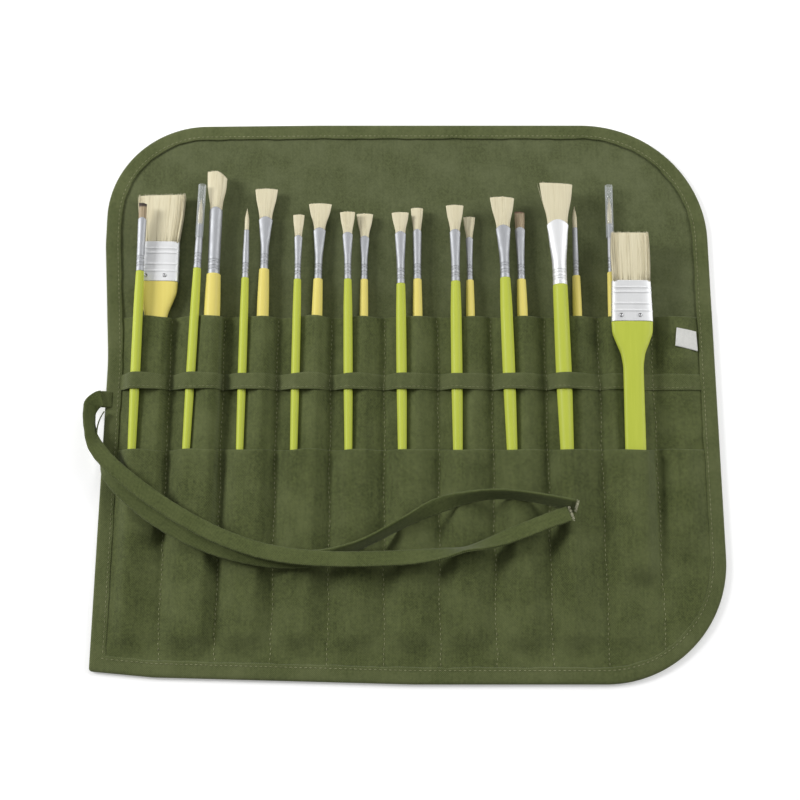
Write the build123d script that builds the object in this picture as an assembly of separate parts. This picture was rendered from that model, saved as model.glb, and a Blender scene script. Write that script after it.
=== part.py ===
from build123d import *
import math
import os

# ---- driving sizes, millimetres; X across the pockets, Y up the brushes, Z up ----
case_width = 374.0
case_height = 353.0
strip_pitch = 33.0
strip_count = 11
corner_top_left = 62.0
corner_top_right = 78.0
corner_bottom_right = 74.0
ply = 0.6
cover_lift = 0.5
binding_width = 9.5
binding_wrap = 2.4
binding_top = 3.4
binding_top_bare = 3.0
upper_pocket_top = 47.0
lower_pocket_top = -37.0
pocket_floor = -165.0
band_centre = 5.0
band_width = 10.0
brush_gap = 0.4
hinge_x = 149.2
hinge_z = binding_top
hinge_half_gap = 0.25
tape_diameter = 4.5
rivet_diameter = 2.4
sleeve_outer = 4.9
sleeve_inner = 4.2
sleeve_length = 35.0
tenon_length = 12.0
root_length = 6.0
flat_handle_thick = 6.2
flat_tail_thick = 4.4
flat_ferrule_thick = 6.8
# the whole case is moved by this much so its box is centred on the origin
centre_shift = (2.74, 0.0, 0.0)

z_cover = cover_lift + ply
z_lining = z_cover + ply
z_upper = z_lining + ply
z_lower = z_upper + ply
half_width = case_width / 2
half_height = case_height / 2

# one row per brush: strip, colour, kind, axis x at the tip, axis x at y=-40,
# tip y, mouth y, ferrule bottom y, tail y, axis z at tail, axis z at y=60,
# tuft tip width, mouth width, ferrule bottom diameter, handle top, handle belly
brushes = [
    (1, "green", "flat", -167.4, -168.3, 117.6, 107.6, 73.1, -148.0, 4.7, 13.0, 4.9, 5.3, 4.9, 4.9, 5.9),
    (2, "green", "round", -131.4, -135.9, 121.5, 104.5, 75.7, -148.0, 4.6, 11.0, 1.9, 3.4, 4.5, 4.7, 5.6),
    (3, "green", "round", -102.8, -103.7, 116.2, 101.3, 70.1, -148.0, 4.6, 9.1, 1.2, 2.4, 4.0, 4.5, 5.2),
    (4, "green", "flat", -70.4, -71.1, 112.1, 97.8, 69.2, -148.0, 4.6, 9.1, 7.2, 5.0, 3.9, 4.5, 5.2),
    (5, "green", "flat", -39.9, -38.1, 114.1, 99.9, 69.3, -148.0, 4.6, 9.0, 9.6, 6.4, 4.3, 4.6, 5.6),
    (6, "green", "flat", -6.9, -5.6, 113.6, 100.3, 66.3, -148.0, 4.6, 9.2, 10.8, 6.9, 4.9, 5.4, 6.3),
    (7, "green", "flat", 27.3, 27.9, 118.4, 101.5, 67.7, -148.0, 4.6, 9.4, 11.2, 6.7, 5.3, 5.7, 6.9),
    (8, "green", "flat", 57.0, 60.6, 123.7, 104.1, 69.8, -148.0, 4.7, 9.9, 15.4, 9.2, 5.9, 6.3, 7.7),
    (9, "green", "flat", 90.9, 93.6, 132.1, 106.9, 64.6, -148.0, 5.2, 11.3, 20.8, 13.5, 8.8, 9.0, 9.6),
    (10, "green", "wide", 135.6, 134.7, 98.5, 66.3, 40.6, -108.0, 6.0, 13.6, 22.9, 23.8, 25.3, 25.3, 12.2),
    (1, "yellow", "wide", -157.4, -158.4, 126.9, 94.3, 68.5, -84.0, 4.4, 5.95, 29.0, 25.1, 25.5, 24.9, 12.2),
    (2, "yellow", "flat", -122.4, -123.8, 141.9, 116.5, 72.7, -148.0, 4.3, 7.95, 12.6, 8.2, 7.5, 8.8, 10.2),
    (3, "yellow", "flat", -91.3, -92.6, 130.9, 111.3, 76.7, -148.0, 3.75, 6.4, 14.4, 8.7, 4.9, 6.2, 7.5),
    (4, "yellow", "flat", -57.2, -59.8, 121.1, 104.1, 70.4, -148.0, 3.6, 6.0, 14.7, 7.7, 4.7, 5.7, 6.8),
    (5, "yellow", "flat", -29.2, -29.6, 114.6, 99.0, 70.4, -148.0, 3.4, 5.2, 10.6, 6.0, 4.0, 4.7, 5.4),
    (6, "yellow", "flat", 3.7, 4.1, 118.1, 103.1, 70.4, -148.0, 3.5, 5.7, 7.8, 5.5, 4.8, 5.2, 6.2),
    (7, "yellow", "flat", 36.5, 36.8, 112.3, 98.2, 69.9, -148.0, 3.4, 5.35, 7.7, 4.6, 3.6, 4.7, 5.6),
    (8, "yellow", "flat", 68.2, 69.5, 115.2, 104.4, 70.1, -148.0, 3.6, 6.05, 6.2, 6.4, 4.6, 5.5, 6.8),
    (9, "yellow", "round", 102.9, 102.8, 119.3, 104.3, 72.7, -148.0, 3.4, 5.5, 1.2, 2.6, 3.6, 4.9, 5.9),
    (10, "yellow", "round", 125.2, 123.6, 125.5, 107.1, 75.1, -148.0, 3.4, 5.1, 1.2, 3.0, 3.6, 4.7, 5.2),
]

os.makedirs("parts", exist_ok=True)
shapes = {}


def keep(name, solids):
    """Gather one node's solids under its name, ready to be written."""
    items = []
    for item in solids:
        for solid in item.solids():
            items.append(solid)
    shapes[name] = items


# ---- brushes ----

class Brush:
    """One brush: its sizes, and the line it lies on."""

    def __init__(self, row):
        (self.strip, self.colour, self.kind, tip_x, low_x, tip_y, mouth_y, base_y, tail_y,
         self.tail_z, head_z, self.tip_w, self.mouth_w, self.base_d, self.top_d, self.belly_d) = row
        self.name = f"{self.colour}_brush_{self.strip:02d}"
        slope_x = (tip_x - low_x) / (tip_y + 40.0)
        slope_z = (head_z - self.tail_z) / (60.0 - tail_y)
        self.tail = Vector(low_x + slope_x * (tail_y + 40.0), tail_y, self.tail_z)
        self.direction = Vector(slope_x, 1.0, slope_z).normalized()
        stretch = math.sqrt(1 + slope_x ** 2 + slope_z ** 2)
        self.length = (tip_y - tail_y) * stretch
        self.mouth = (mouth_y - tail_y) * stretch
        self.base = (base_y - tail_y) * stretch
        across = Vector(self.direction.Y, -self.direction.X, 0).normalized()
        up = across.cross(self.direction)
        self.plane = Plane(origin=self.tail, x_dir=across, z_dir=up)

    def at(self, y):
        """Point of the brush line at a given y."""
        run = (y - self.tail.Y) / self.direction.Y
        return self.tail + self.direction * run

    def radius(self, y):
        """Half width and half thickness of the handle passing this y, tail side included."""
        run = max(y - self.tail.Y, 0.0)
        if self.kind == "wide":
            return widest_before(wide_handle(self), max(run, 9.0) + 3.0), flat_handle_thick / 2
        best = widest_before(round_handle(self), run + 12.0)
        return best, best


def widest_before(table, reach):
    """The widest half width between the tail and a distance along the brush."""
    best = table[0][1]
    for (s1, w1), (s2, w2) in zip(table, table[1:]):
        if reach >= s2:
            best = max(best, w2)
        elif reach > s1:
            best = max(best, w1 + (w2 - w1) * (reach - s1) / (s2 - s1))
    return best


def round_handle(brush):
    """Radius along a round handle: tapering tail, belly near the ferrule, slight neck."""
    belly = brush.belly_d / 2
    tail = max(1.25, belly * 0.42)
    base = brush.base
    return [(1.2, tail * 0.72), (4.0, tail), (base * 0.30, tail + (belly - tail) * 0.38),
            (base * 0.55, tail + (belly - tail) * 0.78), (base * 0.76, belly),
            (base * 0.90, belly * 0.97), (base, brush.top_d / 2)]


def wide_handle(brush):
    """Half width along a flat handle: rounded tail, slim grip, shoulders as wide as the ferrule."""
    slim = brush.belly_d / 2
    top = brush.top_d / 2
    base = brush.base
    return [(0.0, slim * 0.45), (3.0, slim * 0.82), (9.0, slim * 1.0), (base * 0.45, slim * 1.02),
            (base - 30.0, slim), (base - 21.0, slim * 1.18), (base - 13.0, top * 0.80),
            (base - 6.0, top * 0.975), (base, top)]


def oval_face(width, thick, s):
    """An oval across the brush, s along it."""
    return Plane(origin=(0, s, 0), x_dir=(1, 0, 0), z_dir=(0, -1, 0)) * Ellipse(width / 2, thick / 2)


def slab_face(width, thick, s):
    """A rounded rectangle across the brush, s along it."""
    corner = min(width, thick) * 0.42
    return Plane(origin=(0, s, 0), x_dir=(1, 0, 0), z_dir=(0, -1, 0)) * RectangleRounded(width, thick, corner)


def barrel(radius, start, end):
    """A round bar along the brush from start to end."""
    face = Plane(origin=(0, start, 0), x_dir=(1, 0, 0), z_dir=(0, 1, 0)) * Circle(radius)
    return extrude(face, end - start)


def turned(points):
    """A turned solid from (along, radius) points; the first and last lie on the axis."""
    line = Polyline(*[(r, s) for s, r in points], close=True)
    return revolve(make_face(line), Axis.Y)


def tuft_solid(brush, root_w, root_t, tip_t, face):
    """The bristles: a root held in the ferrule, then the visible tuft."""
    mouth = brush.mouth
    tip = brush.length
    reach = tip - mouth
    belly_w = max(brush.tip_w, brush.mouth_w)
    middle_w = brush.mouth_w + (belly_w - brush.mouth_w) * 0.62
    end_w = brush.tip_w
    if brush.kind == "round":
        middle_w = brush.mouth_w * 1.05
    faces = [face(root_w, root_t, mouth - root_length), face(root_w, root_t, mouth),
             face(middle_w, max(root_t * 0.86, tip_t), mouth + reach * 0.55), face(end_w, tip_t, tip)]
    return loft(faces, ruled=True)


def build_round_or_flat(brush):
    """A brush with a turned handle; its ferrule is round, or pressed flat at the mouth."""
    base_r = brush.base_d / 2
    tenon_r = base_r - 0.45
    if brush.kind == "round":
        tenon_r = min(tenon_r, brush.mouth_w / 2)
    profile = round_handle(brush)
    handle = turned([(0.0, 0.0)] + profile + [(brush.base, tenon_r),
                    (brush.base + tenon_length, tenon_r), (brush.base + tenon_length, 0.0)])
    if brush.kind == "round":
        mouth_r = brush.mouth_w / 2 + 0.35
        collar = brush.base + 17.0
        outline = [(brush.base, tenon_r), (brush.base, base_r)]
        for ring in (4.0, 8.0):
            outline += [(brush.base + ring, base_r), (brush.base + ring + 0.8, base_r - 0.22),
                        (brush.base + ring + 1.6, base_r)]
        if brush.strip in sleeve_strips[brush.colour]:
            outline += [(brush.mouth - 14.0, 1.72), (brush.mouth, 1.70)]
        else:
            outline += [(collar, base_r * 0.96), (brush.mouth, mouth_r)]
        root_r = outline[-1][1] - 0.3
        outline += [(brush.mouth, root_r), (brush.base + tenon_length, root_r),
                    (brush.base + tenon_length, tenon_r)]
        ferrule = turned(outline)
        tuft = turned([(brush.base + tenon_length, 0.0), (brush.base + tenon_length, root_r),
                       (brush.mouth, root_r), (brush.mouth + (brush.length - brush.mouth) * 0.45, root_r * 1.02),
                       (brush.length - 2.5, brush.tip_w * 0.42), (brush.length, 0.25), (brush.length, 0.0)])
        return [handle], [ferrule, tuft], []
    mouth_t = max(2.2, min(brush.base_d * 0.62, 4.6))
    if brush.mouth_w < brush.base_d * 1.15:
        mouth_t = brush.base_d * 0.8
    shell = loft([oval_face(brush.base_d, brush.base_d, brush.base),
                  oval_face(brush.base_d, brush.base_d, brush.base + tenon_length),
                  oval_face((brush.base_d + brush.mouth_w) / 2, (brush.base_d + mouth_t) / 2,
                            (brush.base + tenon_length + brush.mouth) / 2),
                  oval_face(brush.mouth_w, mouth_t, brush.mouth)], ruled=True)
    root_w = brush.mouth_w - 0.7
    root_t = mouth_t - 0.7
    tuft = tuft_solid(brush, root_w, root_t, max(1.1, root_t * 0.55), oval_face)
    groove = Part()
    for ring in (3.5, 7.5):
        cutter = barrel(base_r + 1.0, brush.base + ring, brush.base + ring + 1.2)
        groove += cutter - barrel(base_r - 0.22, brush.base + ring - 1.0, brush.base + ring + 2.2)
    ferrule = shell - groove - barrel(tenon_r, brush.base - 1.0, brush.base + tenon_length) - tuft
    return [handle], [ferrule, tuft], []


def build_wide(brush):
    """A one-inch flat brush: flat handle, wide riveted ferrule, square tuft."""
    sections = []
    for s, half in wide_handle(brush):
        share = min(s / (brush.base - 20.0), 1.0)
        depth = flat_tail_thick + (flat_handle_thick - flat_tail_thick) * share
        if s < 2.0:
            depth = depth * 0.6
        sections.append(slab_face(half * 2, depth, s))
    grip = loft(sections, ruled=True)
    tenon_w = brush.top_d - 1.6
    tenon_t = flat_ferrule_thick - 1.4
    tenon_plane = Plane(origin=(0, brush.base, 0), x_dir=(1, 0, 0), z_dir=(0, 1, 0))
    tenon = extrude(tenon_plane * RectangleRounded(tenon_w, tenon_t, tenon_t * 0.4), tenon_length)
    handle = grip + tenon
    shell = loft([slab_face(brush.base_d, flat_ferrule_thick, brush.base),
                  slab_face(brush.mouth_w, flat_ferrule_thick * 0.94, brush.mouth)], ruled=True)
    for ridge in (6.5, 11.0, 18.0, 21.0):
        share = ridge / (brush.mouth - brush.base)
        wide = brush.base_d + (brush.mouth_w - brush.base_d) * share
        deep = flat_ferrule_thick * (1 - 0.06 * share)
        shell += loft([slab_face(wide + 0.5, deep + 0.5, brush.base + ridge - 0.5),
                       slab_face(wide + 0.5, deep + 0.5, brush.base + ridge + 0.5)], ruled=True)
    tuft = tuft_solid(brush, brush.mouth_w - 1.2, flat_ferrule_thick - 1.6, 2.6, slab_face)
    ferrule = shell - tenon - tuft
    rivets = []
    for side in (-7.0, 4.5):
        pin_plane = Plane(origin=(side, brush.base + 3.6, tenon_t / 2 - 1.4))
        pin = extrude(pin_plane * Circle(rivet_diameter / 2 - 0.4), flat_ferrule_thick / 2 + 0.5 - tenon_t / 2 + 1.4)
        head_plane = Plane(origin=(side, brush.base + 3.6, flat_ferrule_thick / 2 + 0.0))
        head = extrude(head_plane * Circle(rivet_diameter / 2), 0.5)
        rivets.append(pin + head)
        ferrule -= pin
        handle -= pin
    return [handle], [ferrule, tuft], rivets


sleeve_strips = {"green": (2,), "yellow": (10,)}
made = [Brush(row) for row in brushes]
for brush in made:
    if brush.kind == "wide":
        handle, head, rivets = build_wide(brush)
    else:
        handle, head, rivets = build_round_or_flat(brush)
    place = brush.plane.location
    keep(brush.name + "_handle", [place * part for part in handle])
    keep(brush.name + "_head", [place * part for part in head])
    if rivets:
        keep(brush.name + "_rivets", [place * part for part in rivets])
    if brush.strip in sleeve_strips[brush.colour]:
        start = brush.mouth - 9.0
        tube = barrel(sleeve_outer / 2, start, start + sleeve_length)
        tube -= barrel(sleeve_inner / 2, start - 1.0, start + sleeve_length + 1.0)
        keep(brush.name + "_sleeve", [place * tube])


# ---- outline of the case ----

def case_outline():
    """The edge of the case seen from above: three round corners, one square."""
    left = -half_width
    right = half_width
    top = half_height
    bottom = -half_height
    corners = [(left - 1.5, bottom + 7.5, 2.0), (left + 36.0, bottom + 4.0, 60.0), (0.0, bottom, 300.0),
               (right, bottom, corner_bottom_right), (right, top, corner_top_right),
               (-60.0, top, 300.0), (left - 5.5, top - 1.5, corner_top_left), (left - 5.5, 95.0, 90.0),
               (left, 20.0, 200.0)]
    points = [(x, y) for x, y, radius in corners]
    face = make_face(Polyline(*points, close=True))
    for x, y, radius in corners:
        found = [v for v in face.vertices() if abs(v.X - x) < 0.01 and abs(v.Y - y) < 0.01]
        face = fillet(found, radius)
    return face


outline = case_outline()
outline_tuck = offset(outline, amount=-binding_wrap)
outline_inner = offset(outline, amount=-binding_width)


def prism(face, low, high):
    """A flat face made into a slab between two heights."""
    return extrude(Plane(origin=(0, 0, low)) * face, high - low)


def block(x0, x1, y0, y1, z0, z1):
    """A plain box between two corners."""
    return Pos((x0 + x1) / 2, (y0 + y1) / 2, (z0 + z1) / 2) * Box(x1 - x0, y1 - y0, z1 - z0)


main_side = block(-300, hinge_x - hinge_half_gap, -300, 300, -5, 60)
flap_side = block(hinge_x + hinge_half_gap, 300, -300, 300, -5, 60)

cover = prism(outline_inner, 0.0, z_cover) + prism(outline_tuck, cover_lift, z_cover)
lining = prism(outline_tuck, z_cover, z_lining)
keep("outer_cover", [cover & main_side])
keep("end_flap_cover", [cover & flap_side])
keep("lining", [lining & main_side])
keep("end_flap_lining", [lining & flap_side])

cavity = prism(outline_tuck, cover_lift, z_lining)
tuck_tall = prism(outline_tuck, z_lining, z_lower)
cavity += tuck_tall & block(-300, 300, -300, upper_pocket_top, z_lining, z_upper)
cavity += tuck_tall & block(-300, 300, -300, lower_pocket_top, z_upper, z_lower)
band_slot = block(-300, 300, band_centre - band_width / 2, band_centre + band_width / 2, z_upper, z_lower)
cavity += tuck_tall & band_slot
binding = prism(outline, 0.0, binding_top) - prism(outline_inner, -1.0, 10.0) - cavity
# the binding is thinner past the pockets, where it folds over two layers only
binding -= block(-300, 300, upper_pocket_top + 5.0, 300, binding_top_bare, 10.0)
keep("edge_binding", [binding & main_side])
keep("end_flap_binding", [binding & flap_side])


# ---- pocket sheets: cross-sections at several y, joined by straight rulings ----

def brush_in(strip, colour):
    """The brush of one colour in one strip."""
    return [b for b in made if b.strip == strip and b.colour == colour][0]


arch_steps = 12


def arch(spot, a, b, kind, steps):
    """Upper half of an oval round a handle, left to right; squarer round a flat handle."""
    power = 0.55 if kind == "wide" else 1.0
    points = []
    for i in range(steps + 1):
        turn = math.pi * (1 - i / steps)
        c = math.cos(turn)
        z = b * max(math.sin(turn), 0.0) ** power
        points.append((spot.X + a * math.copysign(abs(c) ** power, c), spot.Z + z))
    return points



def seam(number):
    """The x of a seam; seam 0 and seam 11 are the inner edges of the binding."""
    if number == 0:
        return -half_width + binding_width - 1.0
    if number == strip_count:
        return half_width - binding_width
    return (number - strip_count / 2) * strip_pitch


def upper_ring(strip, y, extra):
    """The upper sheet over a yellow handle: its two legs, and the arch between them."""
    brush = brush_in(strip, "yellow")
    points = []
    if y < brush.tail.Y - 4.0:
        spot = brush.at(brush.tail.Y)
        a = 2.0 + extra
        for i in range(arch_steps + 1):
            points.append((spot.X + a * (-1 + 2 * (i + 0.5) / (arch_steps + 1)), z_lining + extra))
        return spot.X - a, spot.X + a, points
    spot = brush.at(y)
    wide, tall = brush.radius(y)
    points = arch(spot, wide + brush_gap + extra, tall + brush_gap + extra, brush.kind, arch_steps)
    return points[0][0], points[-1][0], points


def upper_profile(strip, y):
    """One strip of the upper pocket sheet, cut across."""
    left = seam(strip - 1)
    right = seam(strip)
    if strip == 1:
        left = -half_width - 12.0
    leg_a, leg_b, ring = upper_ring(strip, y, ply)
    top = [(left, z_upper), (leg_a, z_upper)] + ring + [(leg_b, z_upper), (right, z_upper)]
    leg_a, leg_b, ring = upper_ring(strip, y, 0.0)
    low = [(left, z_lining), (leg_a, z_lining)] + ring + [(leg_b, z_lining), (right, z_lining)]
    return top, low


def hull(points):
    """The taut line over a set of points, left to right."""
    chain = []
    for p in sorted(points):
        while len(chain) >= 2:
            (x1, z1), (x2, z2) = chain[-2], chain[-1]
            if (x2 - x1) * (p[1] - z1) - (z2 - z1) * (p[0] - x1) >= 0:
                chain.pop()
            else:
                break
        chain.append(p)
    return chain


def taut(points, left, right, count):
    """Heights of the taut line at even steps between two seams."""
    chain = hull(points)
    result = []
    for i in range(count + 1):
        x = min(max(left + (right - left) * i / count, chain[0][0]), chain[-1][0])
        for (x1, z1), (x2, z2) in zip(chain, chain[1:]):
            if x1 - 1e-9 <= x <= x2 + 1e-9:
                result.append((x, z1 + (z2 - z1) * (x - x1) / (x2 - x1)))
                break
    return result


stitch_half = 1.2
cloth_slack = 0.3
taut_steps = 34


def over_profile(strip, y, base, green, share):
    """One strip of a sheet pulled over the handles below it; share 1 is full height, 0 is flat."""
    left = seam(strip - 1)
    right = seam(strip)
    edge_left = left + stitch_half
    edge_right = right - stitch_half
    heights = [(edge_left, base), (edge_right, base)]
    yellow = brush_in(strip, "yellow")
    if y > yellow.tail.Y - 4.0:
        spot = yellow.at(y)
        wide, tall = yellow.radius(y)
        lift = brush_gap + ply + cloth_slack
        heights += arch(spot, wide + lift, tall + lift, yellow.kind, 16)
    if green:
        brush = brush_in(strip, "green")
        if y > brush.tail.Y - 4.0:
            spot = brush.at(y)
            wide, tall = brush.radius(y)
            lift = brush_gap + cloth_slack
            heights += arch(spot, wide + lift, tall + lift, brush.kind, 16)
    heights = [p for p in heights if edge_left - 1e-6 <= p[0] <= edge_right + 1e-6]
    line = taut(heights, edge_left, edge_right, taut_steps)
    line = [(x, base + (z - base) * share) for x, z in line]
    if strip == 1:
        left = -half_width - 12.0
    low = [(left, base)] + line + [(right, base)]
    over = ply * (1.0 + 0.1 * share)
    top = [(left, base + ply), (edge_left, base + ply)] + [(x, z + over) for x, z in line[1:-1]]
    top = top + [(edge_right, base + ply), (right, base + ply)]
    return top, low


def section_face(top, low, y):
    """A closed face at one y from the upper and lower lines."""
    clean = [(x, z) for x, z in top] + [(x, z) for x, z in reversed(low)]
    plane = Plane(origin=(0, y, 0), x_dir=(1, 0, 0), z_dir=(0, -1, 0))
    return Face(Wire.make_polygon([plane.from_local_coords((x, z, 0)) for x, z in clean], close=True))


def ruled_sheet(profile, strips, stations, limit):
    """A sheet through its cross-sections, strip by strip, then joined and cut to its panel."""
    whole = None
    for strip in strips:
        faces = [section_face(*profile(strip, y), y) for y in stations]
        piece = loft(faces, ruled=True)
        whole = piece if whole is None else whole + piece
    return whole & limit


pocket_panel = prism(outline_tuck, 0.0, 50.0) & main_side
tail_stations = [-87.0, -98.0, -111.0, -122.0, -136.0, -151.0, -158.5, -185.0]
upper_stations = [upper_pocket_top, 38.0, 24.0, 5.0, -37.0, -62.0] + tail_stations
upper_sheet = ruled_sheet(upper_profile, range(1, 11), upper_stations, pocket_panel)
last_run = hinge_x - hinge_half_gap - seam(10)
upper_sheet += pocket_panel & block(seam(10), hinge_x, -185, upper_pocket_top, z_lining, z_upper)
keep("upper_pocket", [upper_sheet])


def lower_profile(strip, y):
    """One strip of the lower pocket sheet."""
    share = 1.0
    if y < -155.0:
        share = 0.0
    return over_profile(strip, y, z_upper, True, share)


lower_stations = [lower_pocket_top, -62.0] + tail_stations
lower_sheet = ruled_sheet(lower_profile, range(1, 11), lower_stations, pocket_panel)
lower_sheet += pocket_panel & block(seam(10), hinge_x, -185, lower_pocket_top, z_upper, z_lower)
keep("lower_pocket", [lower_sheet])


def band_profile(strip, y):
    """One strip of the retaining band; in strip 10 it runs beneath the wide brush."""
    return over_profile(strip, y, z_upper, strip != 10, 1.0)


band_stations = [band_centre + band_width / 2, band_centre - band_width / 2]
band = ruled_sheet(band_profile, range(1, 10), band_stations, pocket_panel)


def snug_profile(strip, y):
    """The band hugging a yellow handle, flat to each side of it."""
    left = seam(strip - 1)
    right = seam(strip)
    leg_a, leg_b, ring = upper_ring(strip, band_centre, ply * 2 + 0.05)
    top = [(left, z_lower), (leg_a, z_lower)] + ring + [(leg_b, z_lower), (right, z_lower)]
    leg_a, leg_b, ring = upper_ring(strip, band_centre, ply + 0.05)
    low = [(left, z_upper), (leg_a, z_upper)] + ring + [(leg_b, z_upper), (right, z_upper)]
    return top, low


band += ruled_sheet(snug_profile, (10,), band_stations, pocket_panel)
band += block(seam(10), hinge_x - hinge_half_gap, band_stations[1], band_stations[0], z_upper, z_lower)
keep("retaining_band", [band])

# ---- the same sheets on the end flap, where both pockets are empty ----
flap_panel = prism(outline_tuck, 0.0, 50.0) & flap_side
flap_left = hinge_x + hinge_half_gap
flap_bulge = 5.4


def flap_profile(base, rise, gap=0.0):
    """A gently lifted sheet across the empty strip."""
    low_edge = flap_left + 1.5
    high_edge = half_width - binding_width - 1.0
    line = []
    for i in range(17):
        share = i / 16
        lift = math.sin(math.pi * share) ** 0.8 if 0 < i < 16 else 0.0
        line.append((low_edge + (high_edge - low_edge) * share, base + rise * lift + (gap if 0 < i < 16 else 0.0)))
    far = half_width + 12.0
    low = [(flap_left, base)] + line + [(far, base)]
    over = ply * (1.1 if rise > 0 else 1.0)
    top = [(flap_left, base + ply)] + [(x, z + (ply if k in (0, 16) else over)) for k, (x, z) in enumerate(line)]
    top = top + [(far, base + ply)]
    return top, low


def flap_sheet(base, table):
    """The flap's sheet from (y, rise) stations."""
    faces = [section_face(*flap_profile(base, rise), y) for y, rise in table]
    return loft(faces, ruled=True) & flap_panel


keep("end_flap_upper_pocket", [flap_sheet(z_lining, [
    (upper_pocket_top, flap_bulge), (20.0, flap_bulge), (10.0, 2.0), (0.0, 2.0), (-20.0, 0.0), (-185.0, 0.0)])])
keep("end_flap_lower_pocket", [flap_sheet(z_upper, [
    (lower_pocket_top, flap_bulge), (-82.0, flap_bulge), (-112.0, 0.0), (-185.0, 0.0)])])
band_faces = [section_face(*flap_profile(z_upper, 2.0, 0.1), y) for y in band_stations]
keep("end_flap_band", [loft(band_faces, ruled=True) & flap_panel])

# ---- care label, tucked under the binding's inner edge on the flap ----
label_plane = Plane(origin=(170.9, 32.6, 7.35), x_dir=(math.cos(0.36), -0.19, -math.sin(0.36)),
                    z_dir=(math.sin(0.36), 0.0, math.cos(0.36)))
label = extrude(label_plane * RectangleRounded(12.6, 12.0, 0.5), 0.35)
keep("care_label", [label])

# ---- tie: a stitched tab on the left edge and two long ends ----
tab_left = -188.0
tab_top = 5.2
tab = block(tab_left, tab_left + 8.5, -11.8, -0.4, binding_top, tab_top)
keep("tie_anchor", [fillet(tab.edges().filter_by(Axis.Z), 1.2)])


def cord_route(corners, label_text):
    """A round cord through its corners, each turned with an arc as wide as the runs allow."""
    runs = [math.dist(a, b) for a, b in zip(corners, corners[1:])]
    radii = []
    for i in range(1, len(corners) - 1):
        before = Vector(*corners[i]) - Vector(*corners[i - 1])
        after = Vector(*corners[i + 1]) - Vector(*corners[i])
        turn = math.radians(before.get_angle(after))
        radii.append(0.45 * min(runs[i - 1], runs[i]) / math.tan(turn / 2))
    path = FilletPolyline(*corners, radius=radii)
    start = Plane(origin=path @ 0, z_dir=path % 0)
    cord = sweep(start * Circle(tape_diameter / 2), path=path)
    wanted = math.pi * tape_diameter ** 2 / 4 * path.length
    print(label_text, "length", round(path.length, 1), "volume share", round(cord.volume / wanted, 4),
          "radii", [round(r, 1) for r in radii], "runs", [round(r, 1) for r in runs])
    return cord


front_corners = [(-188.2, -6.0, 6.2), (-195.2, -7.6, 6.8), (-195.0, -23.5, 10.0), (-188.0, -40.5, 15.2),
                 (-170.0, -57.0, 17.2), (-144.5, -75.5, 16.4), (-115.0, -91.5, 16.2), (-85.0, -102.0, 17.4),
                 (-54.0, -105.6, 17.8), (-20.0, -105.3, 16.2), (10.0, -103.4, 14.6), (40.0, -98.0, 14.8),
                 (66.0, -88.4, 15.6), (84.0, -81.2, 16.2), (93.0, -78.4, 16.4)]
back_corners = [(-186.6, -14.2, 6.3), (-190.4, -20.0, 6.3), (-190.2, -34.0, 8.0), (-184.8, -47.5, 10.8),
                (-175.2, -61.0, 15.9), (-158.5, -75.6, 15.4), (-137.0, -89.4, 15.0), (-112.0, -99.6, 14.4),
                (-83.0, -105.6, 12.7), (-54.0, -104.8, 12.4), (-28.0, -95.6, 12.9), (-6.0, -83.6, 13.4),
                (18.0, -71.4, 13.8), (47.0, -65.4, 14.2), (76.0, -68.4, 15.0), (96.4, -73.6, 16.2)]
keep("tie_front", [cord_route(front_corners, "tie_front")])
keep("tie_back", [cord_route(back_corners, "tie_back")])

# ---- move everything to the shared frame and write one file per node ----
box = None
for name, solids in shapes.items():
    moved = [Pos(*centre_shift) * solid for solid in solids]
    node = moved[0] if len(moved) == 1 else Compound(children=moved)
    node.label = name
    export_step(node, f"parts/{name}.step")
    limits = node.bounding_box()
    print(f"{name:28s} solids {len(moved)} volume {sum(s.volume for s in moved):10.1f}",
          [round(v, 1) for v in (*limits.min, *limits.max)])
    box = limits if box is None else box.add(limits)
print("box", [round(v, 2) for v in (*box.min, *box.max)])
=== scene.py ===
import math
import bmesh
import bpy
import numpy as np
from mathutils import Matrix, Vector


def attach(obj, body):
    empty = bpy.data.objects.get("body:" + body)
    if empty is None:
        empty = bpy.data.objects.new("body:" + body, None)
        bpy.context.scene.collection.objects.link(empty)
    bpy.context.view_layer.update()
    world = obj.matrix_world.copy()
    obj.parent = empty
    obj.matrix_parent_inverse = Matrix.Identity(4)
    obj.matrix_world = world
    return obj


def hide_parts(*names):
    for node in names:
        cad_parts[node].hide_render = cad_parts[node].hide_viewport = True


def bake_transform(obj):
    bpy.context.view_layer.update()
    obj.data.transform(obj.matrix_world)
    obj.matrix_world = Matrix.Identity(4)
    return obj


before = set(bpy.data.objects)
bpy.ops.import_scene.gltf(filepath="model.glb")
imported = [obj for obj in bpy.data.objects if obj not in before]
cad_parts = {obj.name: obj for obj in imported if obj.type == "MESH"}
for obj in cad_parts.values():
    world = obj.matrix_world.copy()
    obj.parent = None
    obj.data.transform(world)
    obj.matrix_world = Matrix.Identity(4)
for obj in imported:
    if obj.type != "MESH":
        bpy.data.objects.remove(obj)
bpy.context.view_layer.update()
mm = 0.001
shiftX = 2.74  # the case's own middle sits this far right of the frame's, because its left edge bulges


def framePoints(points):
    # case millimetres to frame metres: add the shift, times a thousandth
    out = np.array(points, dtype=float)
    out[..., 0] += shiftX
    return out * mm


# camera
cameraUser = {"aim": (-7.0, -5.5, 0.0), "distance": 827.0, "tilt": 14.0, "lens": 60.66}


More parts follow.
